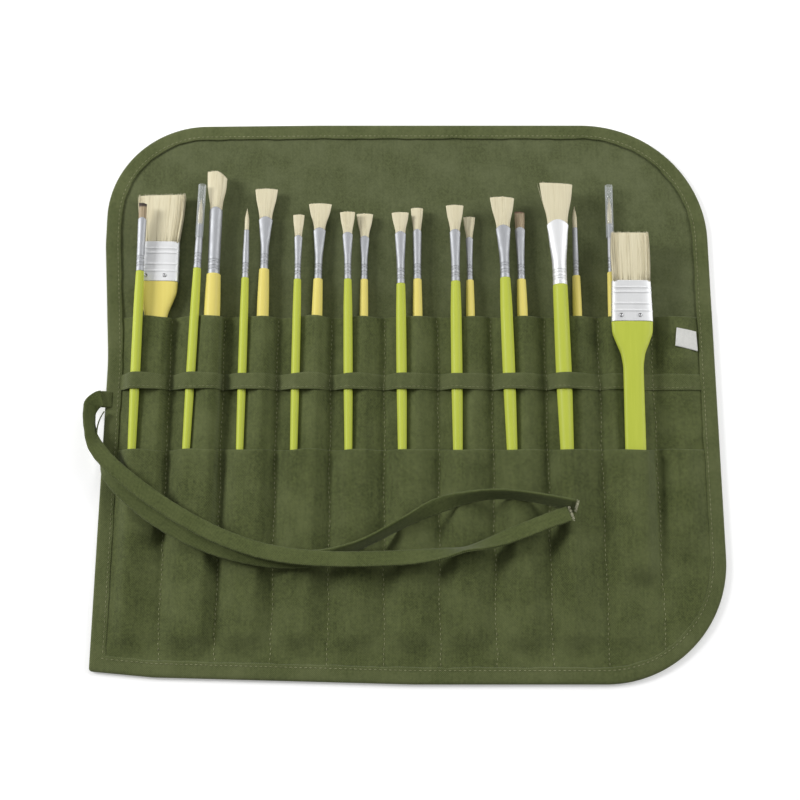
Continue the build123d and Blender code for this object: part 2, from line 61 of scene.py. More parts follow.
def addCamera(user):
    # sits back from the aim point by distance, leaning tilt degrees towards -Y from straight above
    tilt = math.radians(user["tilt"])
    aim = framePoints(user["aim"])
    back = user["distance"] * mm
    data = bpy.data.cameras.new("camera")
    data.lens = user["lens"]
    data.sensor_width = 36.0
    data.clip_start = 0.01
    data.dof.use_dof = False
    cameraObject = bpy.data.objects.new("camera", data)
    bpy.context.scene.collection.objects.link(cameraObject)
    cameraObject.location = (aim[0], aim[1] - back * math.sin(tilt), back * math.cos(tilt))
    cameraObject.rotation_euler = (tilt, 0.0, 0.0)
    bpy.context.scene.camera = cameraObject


addCamera(cameraUser)
print("camera set")


# mesh helpers
def gridFaces(rows, cols, aroundClosed=False, start=0):
    # quads of a rows by cols grid; aroundClosed also joins the last column to the first
    across = cols if aroundClosed else cols - 1
    r, c = np.meshgrid(np.arange(rows - 1), np.arange(across), indexing="ij")
    nextC = (c + 1) % cols
    quads = np.stack([r * cols + c, r * cols + nextC, (r + 1) * cols + nextC, (r + 1) * cols + c], axis=-1)
    return quads.reshape(-1, 4) + start


def newPiece(name, points, faces, material, smooth=True, outward=False):
    mesh = bpy.data.meshes.new(name)
    mesh.from_pydata(np.asarray(points).reshape(-1, 3).tolist(), [], [list(f) for f in faces])
    mesh.polygons.foreach_set("use_smooth", np.full(len(mesh.polygons), smooth))
    mesh.materials.append(material)
    if outward:
        work = bmesh.new()
        work.from_mesh(mesh)
        bmesh.ops.recalc_face_normals(work, faces=work.faces)
        work.to_mesh(mesh)
        work.free()
    mesh.update()
    piece = bpy.data.objects.new(name, mesh)
    bpy.context.scene.collection.objects.link(piece)
    return piece


def smoothCurve(at, knots, values):
    # monotone cubic through (knots, values): slopes are harmonic means, zero at peaks
    knots = np.asarray(knots, float)
    values = np.asarray(values, float)
    h = np.diff(knots)
    d = np.diff(values) / h
    slopes = np.zeros(len(knots))
    same = d[:-1] * d[1:] > 0
    slopes[1:-1] = np.where(same, 2 * d[:-1] * d[1:] / np.where(same, d[:-1] + d[1:], 1), 0)
    slopes[0], slopes[-1] = d[0], d[-1]
    at = np.clip(at, knots[0], knots[-1])
    i = np.clip(np.searchsorted(knots, at, side="right") - 1, 0, len(h) - 1)
    t = (at - knots[i]) / h[i]
    h00, h10 = 2 * t**3 - 3 * t**2 + 1, t**3 - 2 * t**2 + t
    h01, h11 = -2 * t**3 + 3 * t**2, t**3 - t**2
    return h00 * values[i] + h10 * h[i] * slopes[i] + h01 * values[i + 1] + h11 * h[i] * slopes[i + 1]


def cloth(piece, thickness, offset=-1.0):
    # gives a sheet its thickness along its normals; offset -1 grows it downwards, so the grid is its top
    wall = piece.modifiers.new("thickness", "SOLIDIFY")
    wall.thickness = thickness * mm
    wall.offset = offset
    wall.use_even_offset = False


def settle(piece, nodes=(), body=None):
    # says what a piece rides on, or else bakes its placement into its mesh; then hides the parts it stands for
    if body:
        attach(piece, body)
    else:
        foldBlend(piece)
    if nodes:
        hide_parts(*nodes)
    return piece


def smoothstep(t):
    # 3t^2 - 2t^3 between 0 and 1
    t = np.clip(t, 0, 1)
    return t * t * (3 - 2 * t)


# materials
def addNode(tree, kind, **settings):
    # each setting fills the input of that name where the node has one, and a property where it hasn't
    made = tree.nodes.new(kind)
    for key, value in settings.items():
        if key in made.inputs:
            made.inputs[key].default_value = value
        else:
            setattr(made, key, value)
    return made


def feed(tree, source, kind, into="Vector", **settings):
    # a new node with source linked into one of its inputs
    made = addNode(tree, kind, **settings)
    tree.links.new(source, made.inputs[into])
    return made


def newGroup(name, ins, outs):
    group = bpy.data.node_groups.new(name, "ShaderNodeTree")
    for label, kind, value in ins:
        socket = group.interface.new_socket(label, in_out="INPUT", socket_type=kind)
        if value is not None:
            socket.default_value = value
    for label, kind in outs:
        group.interface.new_socket(label, in_out="OUTPUT", socket_type=kind)
    return group, group.nodes.new("NodeGroupInput"), group.nodes.new("NodeGroupOutput")


def math2(tree, operation, a, b):
    made = tree.nodes.new("ShaderNodeMath")
    made.operation = operation
    for i, value in enumerate((a, b)):
        if isinstance(value, (int, float)):
            made.inputs[i].default_value = value
        else:
            tree.links.new(value, made.inputs[i])
    return made.outputs[0]


def scaled(tree, source, factor, plus):
    # source times factor, plus a constant
    return math2(tree, "ADD", math2(tree, "MULTIPLY", source, factor), plus)


def past(tree, source, level, factor):
    # how far source is past a level, times factor
    return math2(tree, "MULTIPLY", math2(tree, "SUBTRACT", source, level), factor)


def weighted(tree, first, second, firstShare, secondShare):
    # the two sources added in these shares
    return math2(tree, "ADD", math2(tree, "MULTIPLY", first, firstShare), math2(tree, "MULTIPLY", second, secondShare))


def blendColours(tree, factor, first, second):
    # from first to second by a factor held between 0 and 1; a plain tuple is a fixed colour
    mix = addNode(tree, "ShaderNodeMix", data_type="RGBA", clamp_factor=True)
    tree.links.new(factor, mix.inputs["Factor"])
    for socket, colour in ((mix.inputs[6], first), (mix.inputs[7], second)):
        if isinstance(colour, tuple):
            socket.default_value = (*colour, 1)
        else:
            tree.links.new(colour, socket)
    return mix.outputs[2]


def buildWeave():
    # plain weave: sine threads along X times sine threads along Y, roughened by noise;
    # puts out thread height, a mottled colour with painted shade in the gaps between threads, and a fuzz mask
    group, start, end = newGroup(
        "plainWeave",
        [("Vector", "NodeSocketVector", None), ("Pitch", "NodeSocketFloat", 1100.0),
         ("Base", "NodeSocketColor", (0.1, 0.12, 0.045, 1)), ("Deep", "NodeSocketColor", (0.06, 0.075, 0.025, 1)),
         ("Faded", "NodeSocketColor", (0.15, 0.17, 0.08, 1)), ("Mottle", "NodeSocketFloat", 0.5)],
        [("Colour", "NodeSocketColor"), ("Height", "NodeSocketFloat"), ("Fuzz", "NodeSocketFloat")])
    link = group.links.new
    vector = start.outputs["Vector"]
    drift = feed(group, vector, "ShaderNodeTexNoise", Scale=160.0, Detail=2.0)
    wobble = feed(group, drift.outputs["Color"], "ShaderNodeVectorMath", 0, operation="SCALE", Scale=0.0007)
    moved = feed(group, vector, "ShaderNodeVectorMath", 0, operation="ADD")
    link(wobble.outputs[0], moved.inputs[1])
    parts = feed(group, moved.outputs[0], "ShaderNodeSeparateXYZ", 0)
    turn = math2(group, "MULTIPLY", start.outputs["Pitch"], 6.2832)
    warp, weft = (math2(group, "SINE", math2(group, "MULTIPLY", parts.outputs[axis], turn), 0.0) for axis in "XY")
    height = scaled(group, math2(group, "MULTIPLY", warp, weft), 0.5, 0.5)
    grain = feed(group, moved.outputs[0], "ShaderNodeTexNoise", Scale=560.0, Detail=4.0, Roughness=0.8)
    both = weighted(group, height, grain.outputs["Fac"], 0.4, 0.6)
    blotch = feed(group, vector, "ShaderNodeTexNoise", Scale=38.0, Detail=5.0, Roughness=0.62)
    slub = feed(group, vector, "ShaderNodeMapping")
    slub.inputs["Scale"].default_value = (700.0, 60.0, 60.0)
    slubNoise = feed(group, slub.outputs[0], "ShaderNodeTexNoise", Scale=1.0, Detail=2.0)
    shade = weighted(group, both, slubNoise.outputs["Fac"], 0.86, 0.14)
    # the colour falls to the darker colour where the threads sink, which is painted shade in the gaps, and where the
    # grain noise is low, which is random tone
    threads = blendColours(group, past(group, shade, 0.36, 3.6), start.outputs["Deep"], start.outputs["Base"])
    fade = past(group, blotch.outputs["Fac"], 0.4, start.outputs["Mottle"])
    worn = blendColours(group, math2(group, "MULTIPLY", fade, 2.0), threads, start.outputs["Faded"])
    link(both, end.inputs["Height"])
    link(worn, end.inputs["Colour"])
    link(grain.outputs["Fac"], end.inputs["Fuzz"])
    return group


def buildStreaks():
    # long thin streaks along Y: noise squeezed along the brush; puts out a colour between two, and a height
    group, start, end = newGroup(
        "longStreaks",
        [("Vector", "NodeSocketVector", None), ("Across", "NodeSocketFloat", 2600.0),
         ("Along", "NodeSocketFloat", 60.0), ("Dark", "NodeSocketColor", (0.4, 0.35, 0.2, 1)),
         ("Light", "NodeSocketColor", (0.7, 0.65, 0.45, 1)), ("Contrast", "NodeSocketFloat", 1.6)],
        [("Colour", "NodeSocketColor"), ("Height", "NodeSocketFloat")])
    link = group.links.new
    scale = addNode(group, "ShaderNodeCombineXYZ")
    for i, key in enumerate(("Across", "Along", "Across")):
        link(start.outputs[key], scale.inputs[i])
    stretch = feed(group, start.outputs["Vector"], "ShaderNodeVectorMath", 0, operation="MULTIPLY")
    link(scale.outputs[0], stretch.inputs[1])
    noise = feed(group, stretch.outputs[0], "ShaderNodeTexNoise", Scale=1.0, Detail=3.0, Roughness=0.6)
    level = math2(group, "ADD", past(group, noise.outputs["Fac"], 0.5, start.outputs["Contrast"]), 0.5)
    link(blendColours(group, level, start.outputs["Dark"], start.outputs["Light"]), end.inputs["Colour"])
    link(noise.outputs["Fac"], end.inputs["Height"])
    return group


weaveGroup = buildWeave()
streakGroup = buildStreaks()


def startMaterial(name, group, source="Object", **settings):
    # a material whose colour is one of the shared groups; returns its tree, shader, coordinates and the group's outputs
    material = bpy.data.materials.new(name)
    material.use_nodes = True
    tree = material.node_tree
    shader = tree.nodes["Principled BSDF"]
    coords = addNode(tree, "ShaderNodeTexCoord").outputs[source]
    pattern = feed(tree, coords, "ShaderNodeGroup", node_tree=group)
    for key, value in settings.items():
        pattern.inputs[key].default_value = (*value, 1) if isinstance(value, tuple) else value
    tree.links.new(pattern.outputs["Colour"], shader.inputs["Base Color"])
    return material, tree, shader, coords, pattern.outputs


def addBump(tree, shader, height, strength, distance):
    relief = feed(tree, height, "ShaderNodeBump", "Height", Strength=strength, Distance=distance)
    tree.links.new(relief.outputs[0], shader.inputs["Normal"])


def setShader(shader, **settings):
    # each setting is an input of the shader, its name written without the spaces
    byName = {socket.name.replace(" ", ""): socket for socket in shader.inputs}
    for key, value in settings.items():
        byName[key].default_value = value


def canvasMaterial(name, base, deep, faded, pitch=1050.0, mottle=0.5, source="Object"):
    # woven cloth: roughness is 0.74 plus a fifth of the fuzz
    # deep is the darker colour between threads: painted shade in the gaps, mixed with random tone
    material, tree, shader, coords, weave = startMaterial(
        name, weaveGroup, source, Pitch=pitch, Base=base, Deep=deep, Faded=faded, Mottle=mottle)
    addBump(tree, shader, weave["Height"], 0.35, 0.0004)
    tree.links.new(scaled(tree, weave["Fuzz"], 0.2, 0.74), shader.inputs["Roughness"])
    setShader(shader, SpecularIORLevel=0.22, SheenWeight=0.12, SheenRoughness=0.5)
    return material


def lacquerMaterial(name, dark, light):
    # lacquer over wood: faint long streaks, small dents, thin clear coat
    material, tree, shader, coords, streaks = startMaterial(
        name, streakGroup, Across=420.0, Along=14.0, Contrast=1.1, Dark=dark, Light=light)
    dents = feed(tree, coords, "ShaderNodeTexNoise", Scale=260.0, Detail=2.0)
    addBump(tree, shader, dents.outputs["Fac"], 0.06, 0.0003)
    tree.links.new(scaled(tree, dents.outputs["Fac"], 0.16, 0.44), shader.inputs["Roughness"])
    setShader(shader, SpecularIORLevel=0.25, CoatWeight=0.04, CoatRoughness=0.2)
    return material


def metalMaterial(name, dark, light, rough):
    # drawn metal: fine streaks along the tube, roughness raised where it is worn
    material, tree, shader, coords, streaks = startMaterial(
        name, streakGroup, Across=3000.0, Along=120.0, Contrast=0.9, Dark=dark, Light=light)
    wear = feed(tree, coords, "ShaderNodeTexNoise", Scale=210.0, Detail=4.0)
    tree.links.new(scaled(tree, wear.outputs["Fac"], 0.22, rough), shader.inputs["Roughness"])
    addBump(tree, shader, streaks["Height"], 0.05, 0.0002)
    setShader(shader, Metallic=1.0)
    return material


def bristleMaterial(name, dark, light, tipColour=None, tipStart=0.0, tipRun=0.001):
    # streaks along the hair; the ends may be dyed: a second colour beyond tipStart, coming in over tipRun
    material, tree, shader, coords, streaks = startMaterial(
        name, streakGroup, Across=1700.0, Along=30.0, Contrast=1.9, Dark=dark, Light=light)
    if tipColour:
        parts = feed(tree, coords, "ShaderNodeSeparateXYZ", 0)
        run = math2(tree, "DIVIDE", math2(tree, "SUBTRACT", parts.outputs["Y"], tipStart), tipRun)
        tree.links.new(blendColours(tree, run, streaks["Colour"], tipColour), shader.inputs["Base Color"])
    addBump(tree, shader, streaks["Height"], 0.3, 0.0002)
    setShader(shader, Roughness=0.55, SheenWeight=0.15)
    return material


def clearMaterial(name):
    # clear plastic with a painted reflection: its whitish colour shows more where the wall is seen edge-on, so there
    # the wall is whiter and hides more
    material = bpy.data.materials.new(name)
    material.use_nodes = True
    tree = material.node_tree
    shader = tree.nodes["Principled BSDF"]
    coords = addNode(tree, "ShaderNodeTexCoord").outputs["Object"]
    haze = feed(tree, coords, "ShaderNodeTexNoise", Scale=300.0, Detail=2.0)
    tree.links.new(scaled(tree, haze.outputs["Fac"], 0.1, 0.03), shader.inputs["Roughness"])
    # the pale grey base colour is painted reflection standing in for the light a clear wall reflects
    setShader(shader, BaseColor=(0.62, 0.65, 0.66, 1), SpecularIORLevel=0.9)
    # opacity rising towards edge-on views makes the painted reflection stronger at the tube's sides
    facing = addNode(tree, "ShaderNodeLayerWeight", Blend=0.35)
    tree.links.new(scaled(tree, facing.outputs["Facing"], 0.62, 0.1), shader.inputs["Alpha"])
    return material


def labelMaterial(name):
    # the darker grey of the weave is painted shade between the threads, mixed with random tone
    material, tree, shader, coords, weave = startMaterial(
        name, weaveGroup, Pitch=1600.0, Base=(0.74, 0.74, 0.7), Deep=(0.58, 0.58, 0.55), Faded=(0.82, 0.82, 0.79))
    addBump(tree, shader, weave["Height"], 0.25, 0.0002)
    setShader(shader, Roughness=0.7)
    return material


# each cloth: thread colour, darker colour between threads that is painted shade in the gaps mixed with random tone,
# worn colour
oliveCanvas = canvasMaterial(
    "oliveCanvas", (0.118, 0.141, 0.044), (0.026, 0.034, 0.008), (0.148, 0.171, 0.066), mottle=0.8)
oliveLining = canvasMaterial(
    "oliveLining", (0.124, 0.144, 0.058), (0.045, 0.054, 0.018), (0.155, 0.175, 0.085), mottle=0.8)
oliveTape = canvasMaterial(
    "oliveTape", (0.122, 0.143, 0.052), (0.048, 0.06, 0.016), (0.155, 0.173, 0.074), pitch=900.0, mottle=0.7)
threadMaterial = canvasMaterial(
    "oliveThread", (0.34, 0.35, 0.185), (0.1, 0.11, 0.04), (0.4, 0.4, 0.24), pitch=2500.0)
paleThread = canvasMaterial("paleThread", (0.6, 0.58, 0.42), (0.3, 0.31, 0.18), (0.68, 0.66, 0.5), pitch=2500.0)
tapeAlongCloth = canvasMaterial(
    "tapeClothAlong", (0.104, 0.126, 0.038), (0.038, 0.05, 0.011), (0.134, 0.156, 0.056), pitch=900.0, source="UV")
# the rest: dark streaks, light streaks
greenLacquer = lacquerMaterial("greenLacquer", (0.46, 0.53, 0.052), (0.57, 0.63, 0.085))
yellowLacquer = lacquerMaterial("yellowLacquer", (0.75, 0.625, 0.14), (0.83, 0.72, 0.21))
ferruleMetal = metalMaterial("ferruleMetal", (0.4, 0.41, 0.43), (0.53, 0.54, 0.56), 0.5)
satinMetal = metalMaterial("satinMetal", (0.78, 0.79, 0.8), (0.88, 0.88, 0.88), 0.5)
rivetMetal = metalMaterial("rivetMetal", (0.32, 0.32, 0.33), (0.6, 0.6, 0.61), 0.25)
creamBristle = bristleMaterial("creamBristle", (0.66, 0.59, 0.39), (0.78, 0.72, 0.51))
sandHair = bristleMaterial("sandHair", (0.3, 0.22, 0.12), (0.48, 0.38, 0.24), (0.03, 0.014, 0.008), 0.1143, 0.0012)
redHair = bristleMaterial("redHair", (0.3, 0.22, 0.12), (0.5, 0.4, 0.26), (0.13, 0.03, 0.018), 0.1135, 0.0014)
clearTube = clearMaterial("clearTube")
labelCloth = labelMaterial("labelCloth")
print("materials ready")


# tie: two ends of folded tape
tieUser = {
    "width": 10.0, "thickness": 1.5, "frontStart": 1.0, "backStart": 0.24,
    "front": [(-188.2, -6.0, 6.2), (-195.2, -7.6, 6.8), (-195.0, -23.5, 10.0), (-188.0, -40.5, 15.2),
              (-170.0, -57.0, 17.2), (-144.5, -75.5, 16.4), (-115.0, -91.5, 16.2), (-85.0, -102.0, 17.4),
              (-54.0, -105.6, 17.8), (-20.0, -105.3, 16.2), (10.0, -103.4, 14.6), (40.0, -98.0, 14.8),
              (66.0, -88.4, 15.6), (84.0, -81.2, 16.2), (93.0, -78.4, 16.4)],
    "frontRoll": [(0, 4), (0.015, 24), (0.04, 58), (0.07, 60), (0.12, 25), (0.3, 12), (0.48, 18), (0.7, 22), (0.77, 45), (0.81, 70), (0.85, 48), (0.9, 24), (1, 18)],
    "back": [(-186.6, -14.2, 6.3), (-190.4, -20.0, 6.3), (-190.2, -34.0, 8.0), (-184.8, -47.5, 10.8),
             (-175.2, -61.0, 15.9), (-158.5, -75.6, 15.4), (-137.0, -89.4, 15.0), (-112.0, -99.6, 14.4),
             (-83.0, -105.6, 12.7), (-54.0, -104.8, 12.4), (-28.0, -95.6, 12.9), (-6.0, -83.6, 13.4),
             (18.0, -71.4, 13.8), (47.0, -65.4, 14.2), (76.0, -68.4, 15.0), (96.4, -73.6, 16.2)],
    "backRoll": [(0, -82), (0.08, -78), (0.13, -24), (0.3, -14), (0.5, -10), (0.56, -48), (0.62, -68), (0.7, -62), (0.76, -34),
                 (0.82, -58), (0.9, -68), (1, -60)],
}


def splinePoints(route, name):
    # the smooth line of the route: a quadratic NURBS with the route's points as its control points
    curve = bpy.data.curves.new(name, "CURVE")
    curve.dimensions = "3D"
    curve.resolution_u = 14
    spline = curve.splines.new("NURBS")
    spline.points.add(len(route) - 1)
    flatList = np.c_[framePoints(route), np.ones(len(route))].ravel()
    spline.points.foreach_set("co", flatList)
    spline.order_u = 3
    spline.use_endpoint_u = True
    helper = bpy.data.objects.new(name, curve)
    bpy.context.scene.collection.objects.link(helper)
    bpy.context.view_layer.update()
    mesh = bpy.data.meshes.new_from_object(helper.evaluated_get(bpy.context.evaluated_depsgraph_get()))
    points = np.empty(len(mesh.vertices) * 3)
    mesh.vertices.foreach_get("co", points)
    bpy.data.objects.remove(helper)
    return points.reshape(-1, 3)


def unit(v):
    return v / np.maximum(np.linalg.norm(v, axis=-1, keepdims=True), 1e-12)


def runLength(line):
    # distance walked along a line, at each of its points
    return np.r_[0, np.cumsum(np.linalg.norm(np.diff(line, axis=0), axis=1))]


def alongPath(path):
    # distance, direction, level side and upward normal at each point of a path
    steps = runLength(path)
    tangent = unit(np.gradient(path, steps, axis=0))
    side = unit(np.cross(tangent, np.array([0, 0, 1.0])))
    return steps, tangent, side, np.cross(side, tangent)


def tapeSection(width, thickness):
    # a folded tape seen end on: two layers nearly closed, rounded fold on one side,
    # the two turned-in edges on the other with a fine gap between them
    w, t = width / 2, thickness / 2
    return np.array([(-w, 0.0), (-w + 0.12, t * 0.7), (-w + 0.5, t), (-w * 0.45, t * 1.04), (0, t * 1.0), (w * 0.45, t * 1.04),
                     (w - 0.9, t * 0.98), (w - 0.25, t * 0.95), (w, t * 0.6), (w - 0.1, t * 0.18), (w - 0.7, 0.05),
                     (w - 0.7, -0.05), (w - 0.1, -t * 0.18), (w, -t * 0.6), (w - 0.25, -t * 0.95), (w - 0.9, -t * 0.98),
                     (w * 0.45, -t * 1.04), (0, -t), (-w * 0.45, -t * 1.04), (-w + 0.5, -t), (-w + 0.12, -t * 0.7)]) * mm


def tapeAlong(name, path, rolls, width, thickness, material, startWidth=1.0):
    # carries the tape's section along the path; it is turned about the path by the roll angles
    steps, tangent, side, normal = alongPath(path)
    share = steps / steps[-1]
    roll = np.radians(smoothCurve(share, [r[0] for r in rolls], [r[1] for r in rolls]))[:, None]
    across = side * np.cos(roll) + normal * np.sin(roll)
    through = normal * np.cos(roll) - side * np.sin(roll)
    section = tapeSection(width, thickness)
    # slim where it comes out from under the other strand, full width after that
    slim = (startWidth + (1 - startWidth) * smoothstep(share / 0.11))[:, None, None]
    ripple = slim * (1 + 0.02 * np.sin(steps * 900)[:, None, None])
    points = path[:, None, :] + across[:, None, :] * section[None, :, :1] * ripple + through[:, None, :] * section[None, :, 1:] * slim
    rows, cols = points.shape[:2]
    faces = gridFaces(rows, cols, True).tolist()
    flat = points.reshape(-1, 3)
    caps = np.array([path[0], path[-1]])
    n = len(flat)
    faces += [[n, (i + 1) % cols, i] for i in range(cols)]
    last = (rows - 1) * cols
    faces += [[n + 1, last + i, last + (i + 1) % cols] for i in range(cols)]
    piece = newPiece(name, np.vstack([flat, caps]), faces, material, outward=True)
    # the tape's own lengths, so the weave runs along it
    uv = piece.data.uv_layers.new(name="UVMap")
    loopVerts = np.empty(len(piece.data.loops), dtype=int)
    piece.data.loops.foreach_get("vertex_index", loopVerts)
    across1 = np.r_[np.tile(section[:, 0], rows), 0, 0]
    along1 = np.r_[np.repeat(steps, cols), steps[0], steps[-1]]
    uv.data.foreach_set("uv", np.c_[across1[loopVerts], along1[loopVerts]].ravel())
    return piece, steps, tangent, across, through


def makeTie(user):
    made = {}
    for end in ("front", "back"):
        path = splinePoints(user[end], "tie" + end)
        piece, steps, tangent, across, through = tapeAlong(
            "tieTape_" + end, path, user[end + "Roll"], user["width"], user["thickness"], tapeAlongCloth,
            user[end + "Start"])
        made[end] = (piece, path, steps, tangent, across, through)
        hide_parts("tie_" + end)
        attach(piece, "case")
        print("tie", end, "length", round(steps[-1] * 1000, 1))
    return made


tie = makeTie(tieUser)
print("tie made")


# outline of the case
caseUser = {
    # x, y and corner radius of each corner, going round anticlockwise from the bottom left
    "corners": [(-188.5, -169.0, 2.0), (-151.0, -172.5, 60.0), (0.0, -176.5, 300.0), (187.0, -176.5, 74.0),
                (187.0, 176.5, 78.0), (-60.0, 176.5, 300.0), (-192.5, 175.0, 62.0), (-192.5, 95.0, 90.0), (-187.0, 20.0, 200.0)],
    "coverTop": 1.1, "liningTop": 1.7, "upperTop": 2.3, "lowerTop": 2.9, "bindingTop": 3.38, "bindingTopBare": 2.98,
    "upperEdge": 47.0, "lowerEdge": -37.0, "bandCentre": 5.0, "bandWidth": 10.0, "pitch": 33.0,
    "leftInner": -178.5, "rightInner": 177.5, "hinge": 149.2,
}


def outlineLine(inset, step=2.2):
    # the case's edge moved inwards: corners on the bisectors, radii less by the inset; same point count for any inset
    corners = np.array([c[:2] for c in caseUser["corners"]])
    radii = np.array([c[2] for c in caseUser["corners"]])
    d = unit(np.roll(corners, -1, axis=0) - corners)
    before = np.roll(d, 1, axis=0)
    n = np.c_[-d[:, 1], d[:, 0]]
    nBefore = np.roll(n, 1, axis=0)
    turn = np.arctan2(before[:, 0] * d[:, 1] - before[:, 1] * d[:, 0], (before * d).sum(1))
    sign = np.sign(turn)
    moved = corners + inset * (n + nBefore) / (1 + (n * nBefore).sum(1))[:, None]
    r = np.maximum(radii - inset * sign, 0.2)
    starts = moved - before * (r * np.tan(np.abs(turn) / 2))[:, None]
    ends = moved + d * (r * np.tan(np.abs(turn) / 2))[:, None]
    centres = starts + nBefore * (r * sign)[:, None]
    wholeEnds = corners + d * (radii * np.tan(np.abs(turn) / 2))[:, None]
    wholeStarts = corners - before * (radii * np.tan(np.abs(turn) / 2))[:, None]
    line = []
    for i in range(len(corners)):
        count = max(4, int(np.ceil(radii[i] * abs(turn[i]) / step)))
        angle = np.linspace(0, turn[i], count + 1)[:, None]
        arm = starts[i] - centres[i]
        line.append(centres[i] + np.c_[arm[0] * np.cos(angle) - arm[1] * np.sin(angle), arm[0] * np.sin(angle) + arm[1] * np.cos(angle)])
        j = (i + 1) % len(corners)
        run = int(np.ceil(np.linalg.norm(wholeStarts[j] - wholeEnds[i]) / step))
        share = np.linspace(0, 1, run + 1)[1:-1, None]
        line.append(ends[i] * (1 - share) + starts[j] * share)
    return np.vstack(line)


def insideLine(x, y, line):
    # counts crossings of a ray with the closed line
    ax, ay = line[:, 0], line[:, 1]
    bx, by = np.roll(ax, -1), np.roll(ay, -1)
    px, py = x.ravel()[:, None], y.ravel()[:, None]
    crosses = (ay > py) != (by > py)
    at = ax + (py - ay) * (bx - ax) / np.where(by == ay, 1, by - ay)
    return ((crosses & (px < at)).sum(1) % 2 == 1).reshape(x.shape)


def trimToLine(points, faces, line):
    # keeps the faces that reach inside the line, and slides their outer corners onto it
    inside = insideLine(points[:, 0], points[:, 1], line)
    faces = faces[inside[faces].any(axis=1)]
    used = np.unique(faces)
    outside = used[~inside[used]]
    a, b = line, np.roll(line, -1, axis=0)
    ab = b - a
    p = points[outside, :2][:, None, :]
    t = np.clip(((p - a) * ab).sum(-1) / (ab * ab).sum(-1), 0, 1)
    near = a + ab * t[..., None]
    best = np.argmin(((p - near) ** 2).sum(-1), axis=1)
    points[outside, :2] = near[np.arange(len(outside)), best]
    order = np.full(len(points), -1)
    order[used] = np.arange(len(used))
    return points[used], order[faces]


def softNoise(x, y, size, seed):
    # a smooth random surface: eight waves in random directions, about one unit high
    local = np.random.default_rng(seed)
    total = np.zeros(np.broadcast(x, y).shape)
    for k in range(8):
        angle = local.uniform(0, math.pi)
        rate = 2 * math.pi / size * local.uniform(0.6, 1.7)
        total += np.sin((x * math.cos(angle) + y * math.sin(angle)) * rate + local.uniform(0, 6.28))
    return total / 4


def foldBlend(piece):
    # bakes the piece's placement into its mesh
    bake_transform(piece)


# brushes: their lines and sizes
# strip, kind, x at the tip, x at y -40, tip y, mouth y, ferrule base y, tail y, z at tail, z at y 60,
# tuft tip width, mouth width, ferrule base diameter, handle top, handle belly
brushUser = {
    "green": [
        (1, "flat", -167.4, -168.3, 117.6, 107.6, 73.1, -148.0, 4.7, 13.0, 4.9, 5.3, 4.9, 4.9, 5.9),
        (2, "round", -131.4, -135.9, 121.5, 104.5, 75.7, -148.0, 4.6, 11.0, 1.9, 3.4, 4.5, 4.7, 5.6),
        (3, "round", -102.8, -103.7, 116.2, 101.3, 70.1, -148.0, 4.6, 9.1, 1.2, 2.4, 4.0, 4.5, 5.2),
        (4, "flat", -70.4, -71.1, 112.1, 97.8, 69.2, -148.0, 4.6, 9.1, 7.2, 5.0, 3.9, 4.5, 5.2),
        (5, "flat", -39.9, -38.1, 114.1, 99.9, 69.3, -148.0, 4.6, 9.0, 9.6, 6.4, 4.3, 4.6, 5.6),
        (6, "flat", -6.9, -5.6, 113.6, 100.3, 66.3, -148.0, 4.6, 9.2, 10.8, 6.9, 4.9, 5.4, 6.3),
        (7, "flat", 27.3, 27.9, 118.4, 101.5, 67.7, -148.0, 4.6, 9.4, 11.2, 6.7, 5.3, 5.7, 6.9),
        (8, "flat", 57.0, 60.6, 123.7, 104.1, 69.8, -148.0, 4.7, 9.9, 15.4, 9.2, 5.9, 6.3, 7.7),
        (9, "flat", 90.9, 93.6, 132.1, 106.9, 64.6, -148.0, 5.2, 11.3, 20.8, 13.5, 8.8, 9.0, 9.6),
        (10, "wide", 135.6, 134.7, 98.5, 66.3, 40.6, -108.0, 6.0, 13.6, 22.9, 23.8, 25.3, 25.3, 12.2)],
    "yellow": [
        (1, "wide", -157.4, -158.4, 126.9, 94.3, 68.5, -84.0, 4.4, 5.95, 29.0, 25.1, 25.5, 24.9, 12.2),
        (2, "flat", -122.4, -123.8, 141.9, 116.5, 72.7, -148.0, 4.3, 7.95, 12.6, 8.2, 7.5, 8.8, 10.2),
        (3, "flat", -91.3, -92.6, 130.9, 111.3, 76.7, -148.0, 3.75, 6.4, 14.4, 8.7, 4.9, 6.2, 7.5),
        (4, "flat", -57.2, -59.8, 121.1, 104.1, 70.4, -148.0, 3.6, 6.0, 14.7, 7.7, 4.7, 5.7, 6.8),
        (5, "flat", -29.2, -29.6, 114.6, 99.0, 70.4, -148.0, 3.4, 5.2, 10.6, 6.0, 4.0, 4.7, 5.4),
        (6, "flat", 3.7, 4.1, 118.1, 103.1, 70.4, -148.0, 3.5, 5.7, 7.8, 5.5, 4.8, 5.2, 6.2),
        (7, "flat", 36.5, 36.8, 112.3, 98.2, 69.9, -148.0, 3.4, 5.35, 7.7, 4.6, 3.6, 4.7, 5.6),
        (8, "flat", 68.2, 69.5, 115.2, 104.4, 70.1, -148.0, 3.6, 6.05, 6.2, 6.4, 4.6, 5.5, 6.8),
        (9, "round", 102.9, 102.8, 119.3, 104.3, 72.7, -148.0, 3.4, 5.5, 1.2, 2.6, 3.6, 4.9, 5.9),
        (10, "round", 125.2, 123.6, 125.5, 107.1, 75.1, -148.0, 3.4, 5.1, 1.2, 3.0, 3.6, 4.7, 5.2)],
}


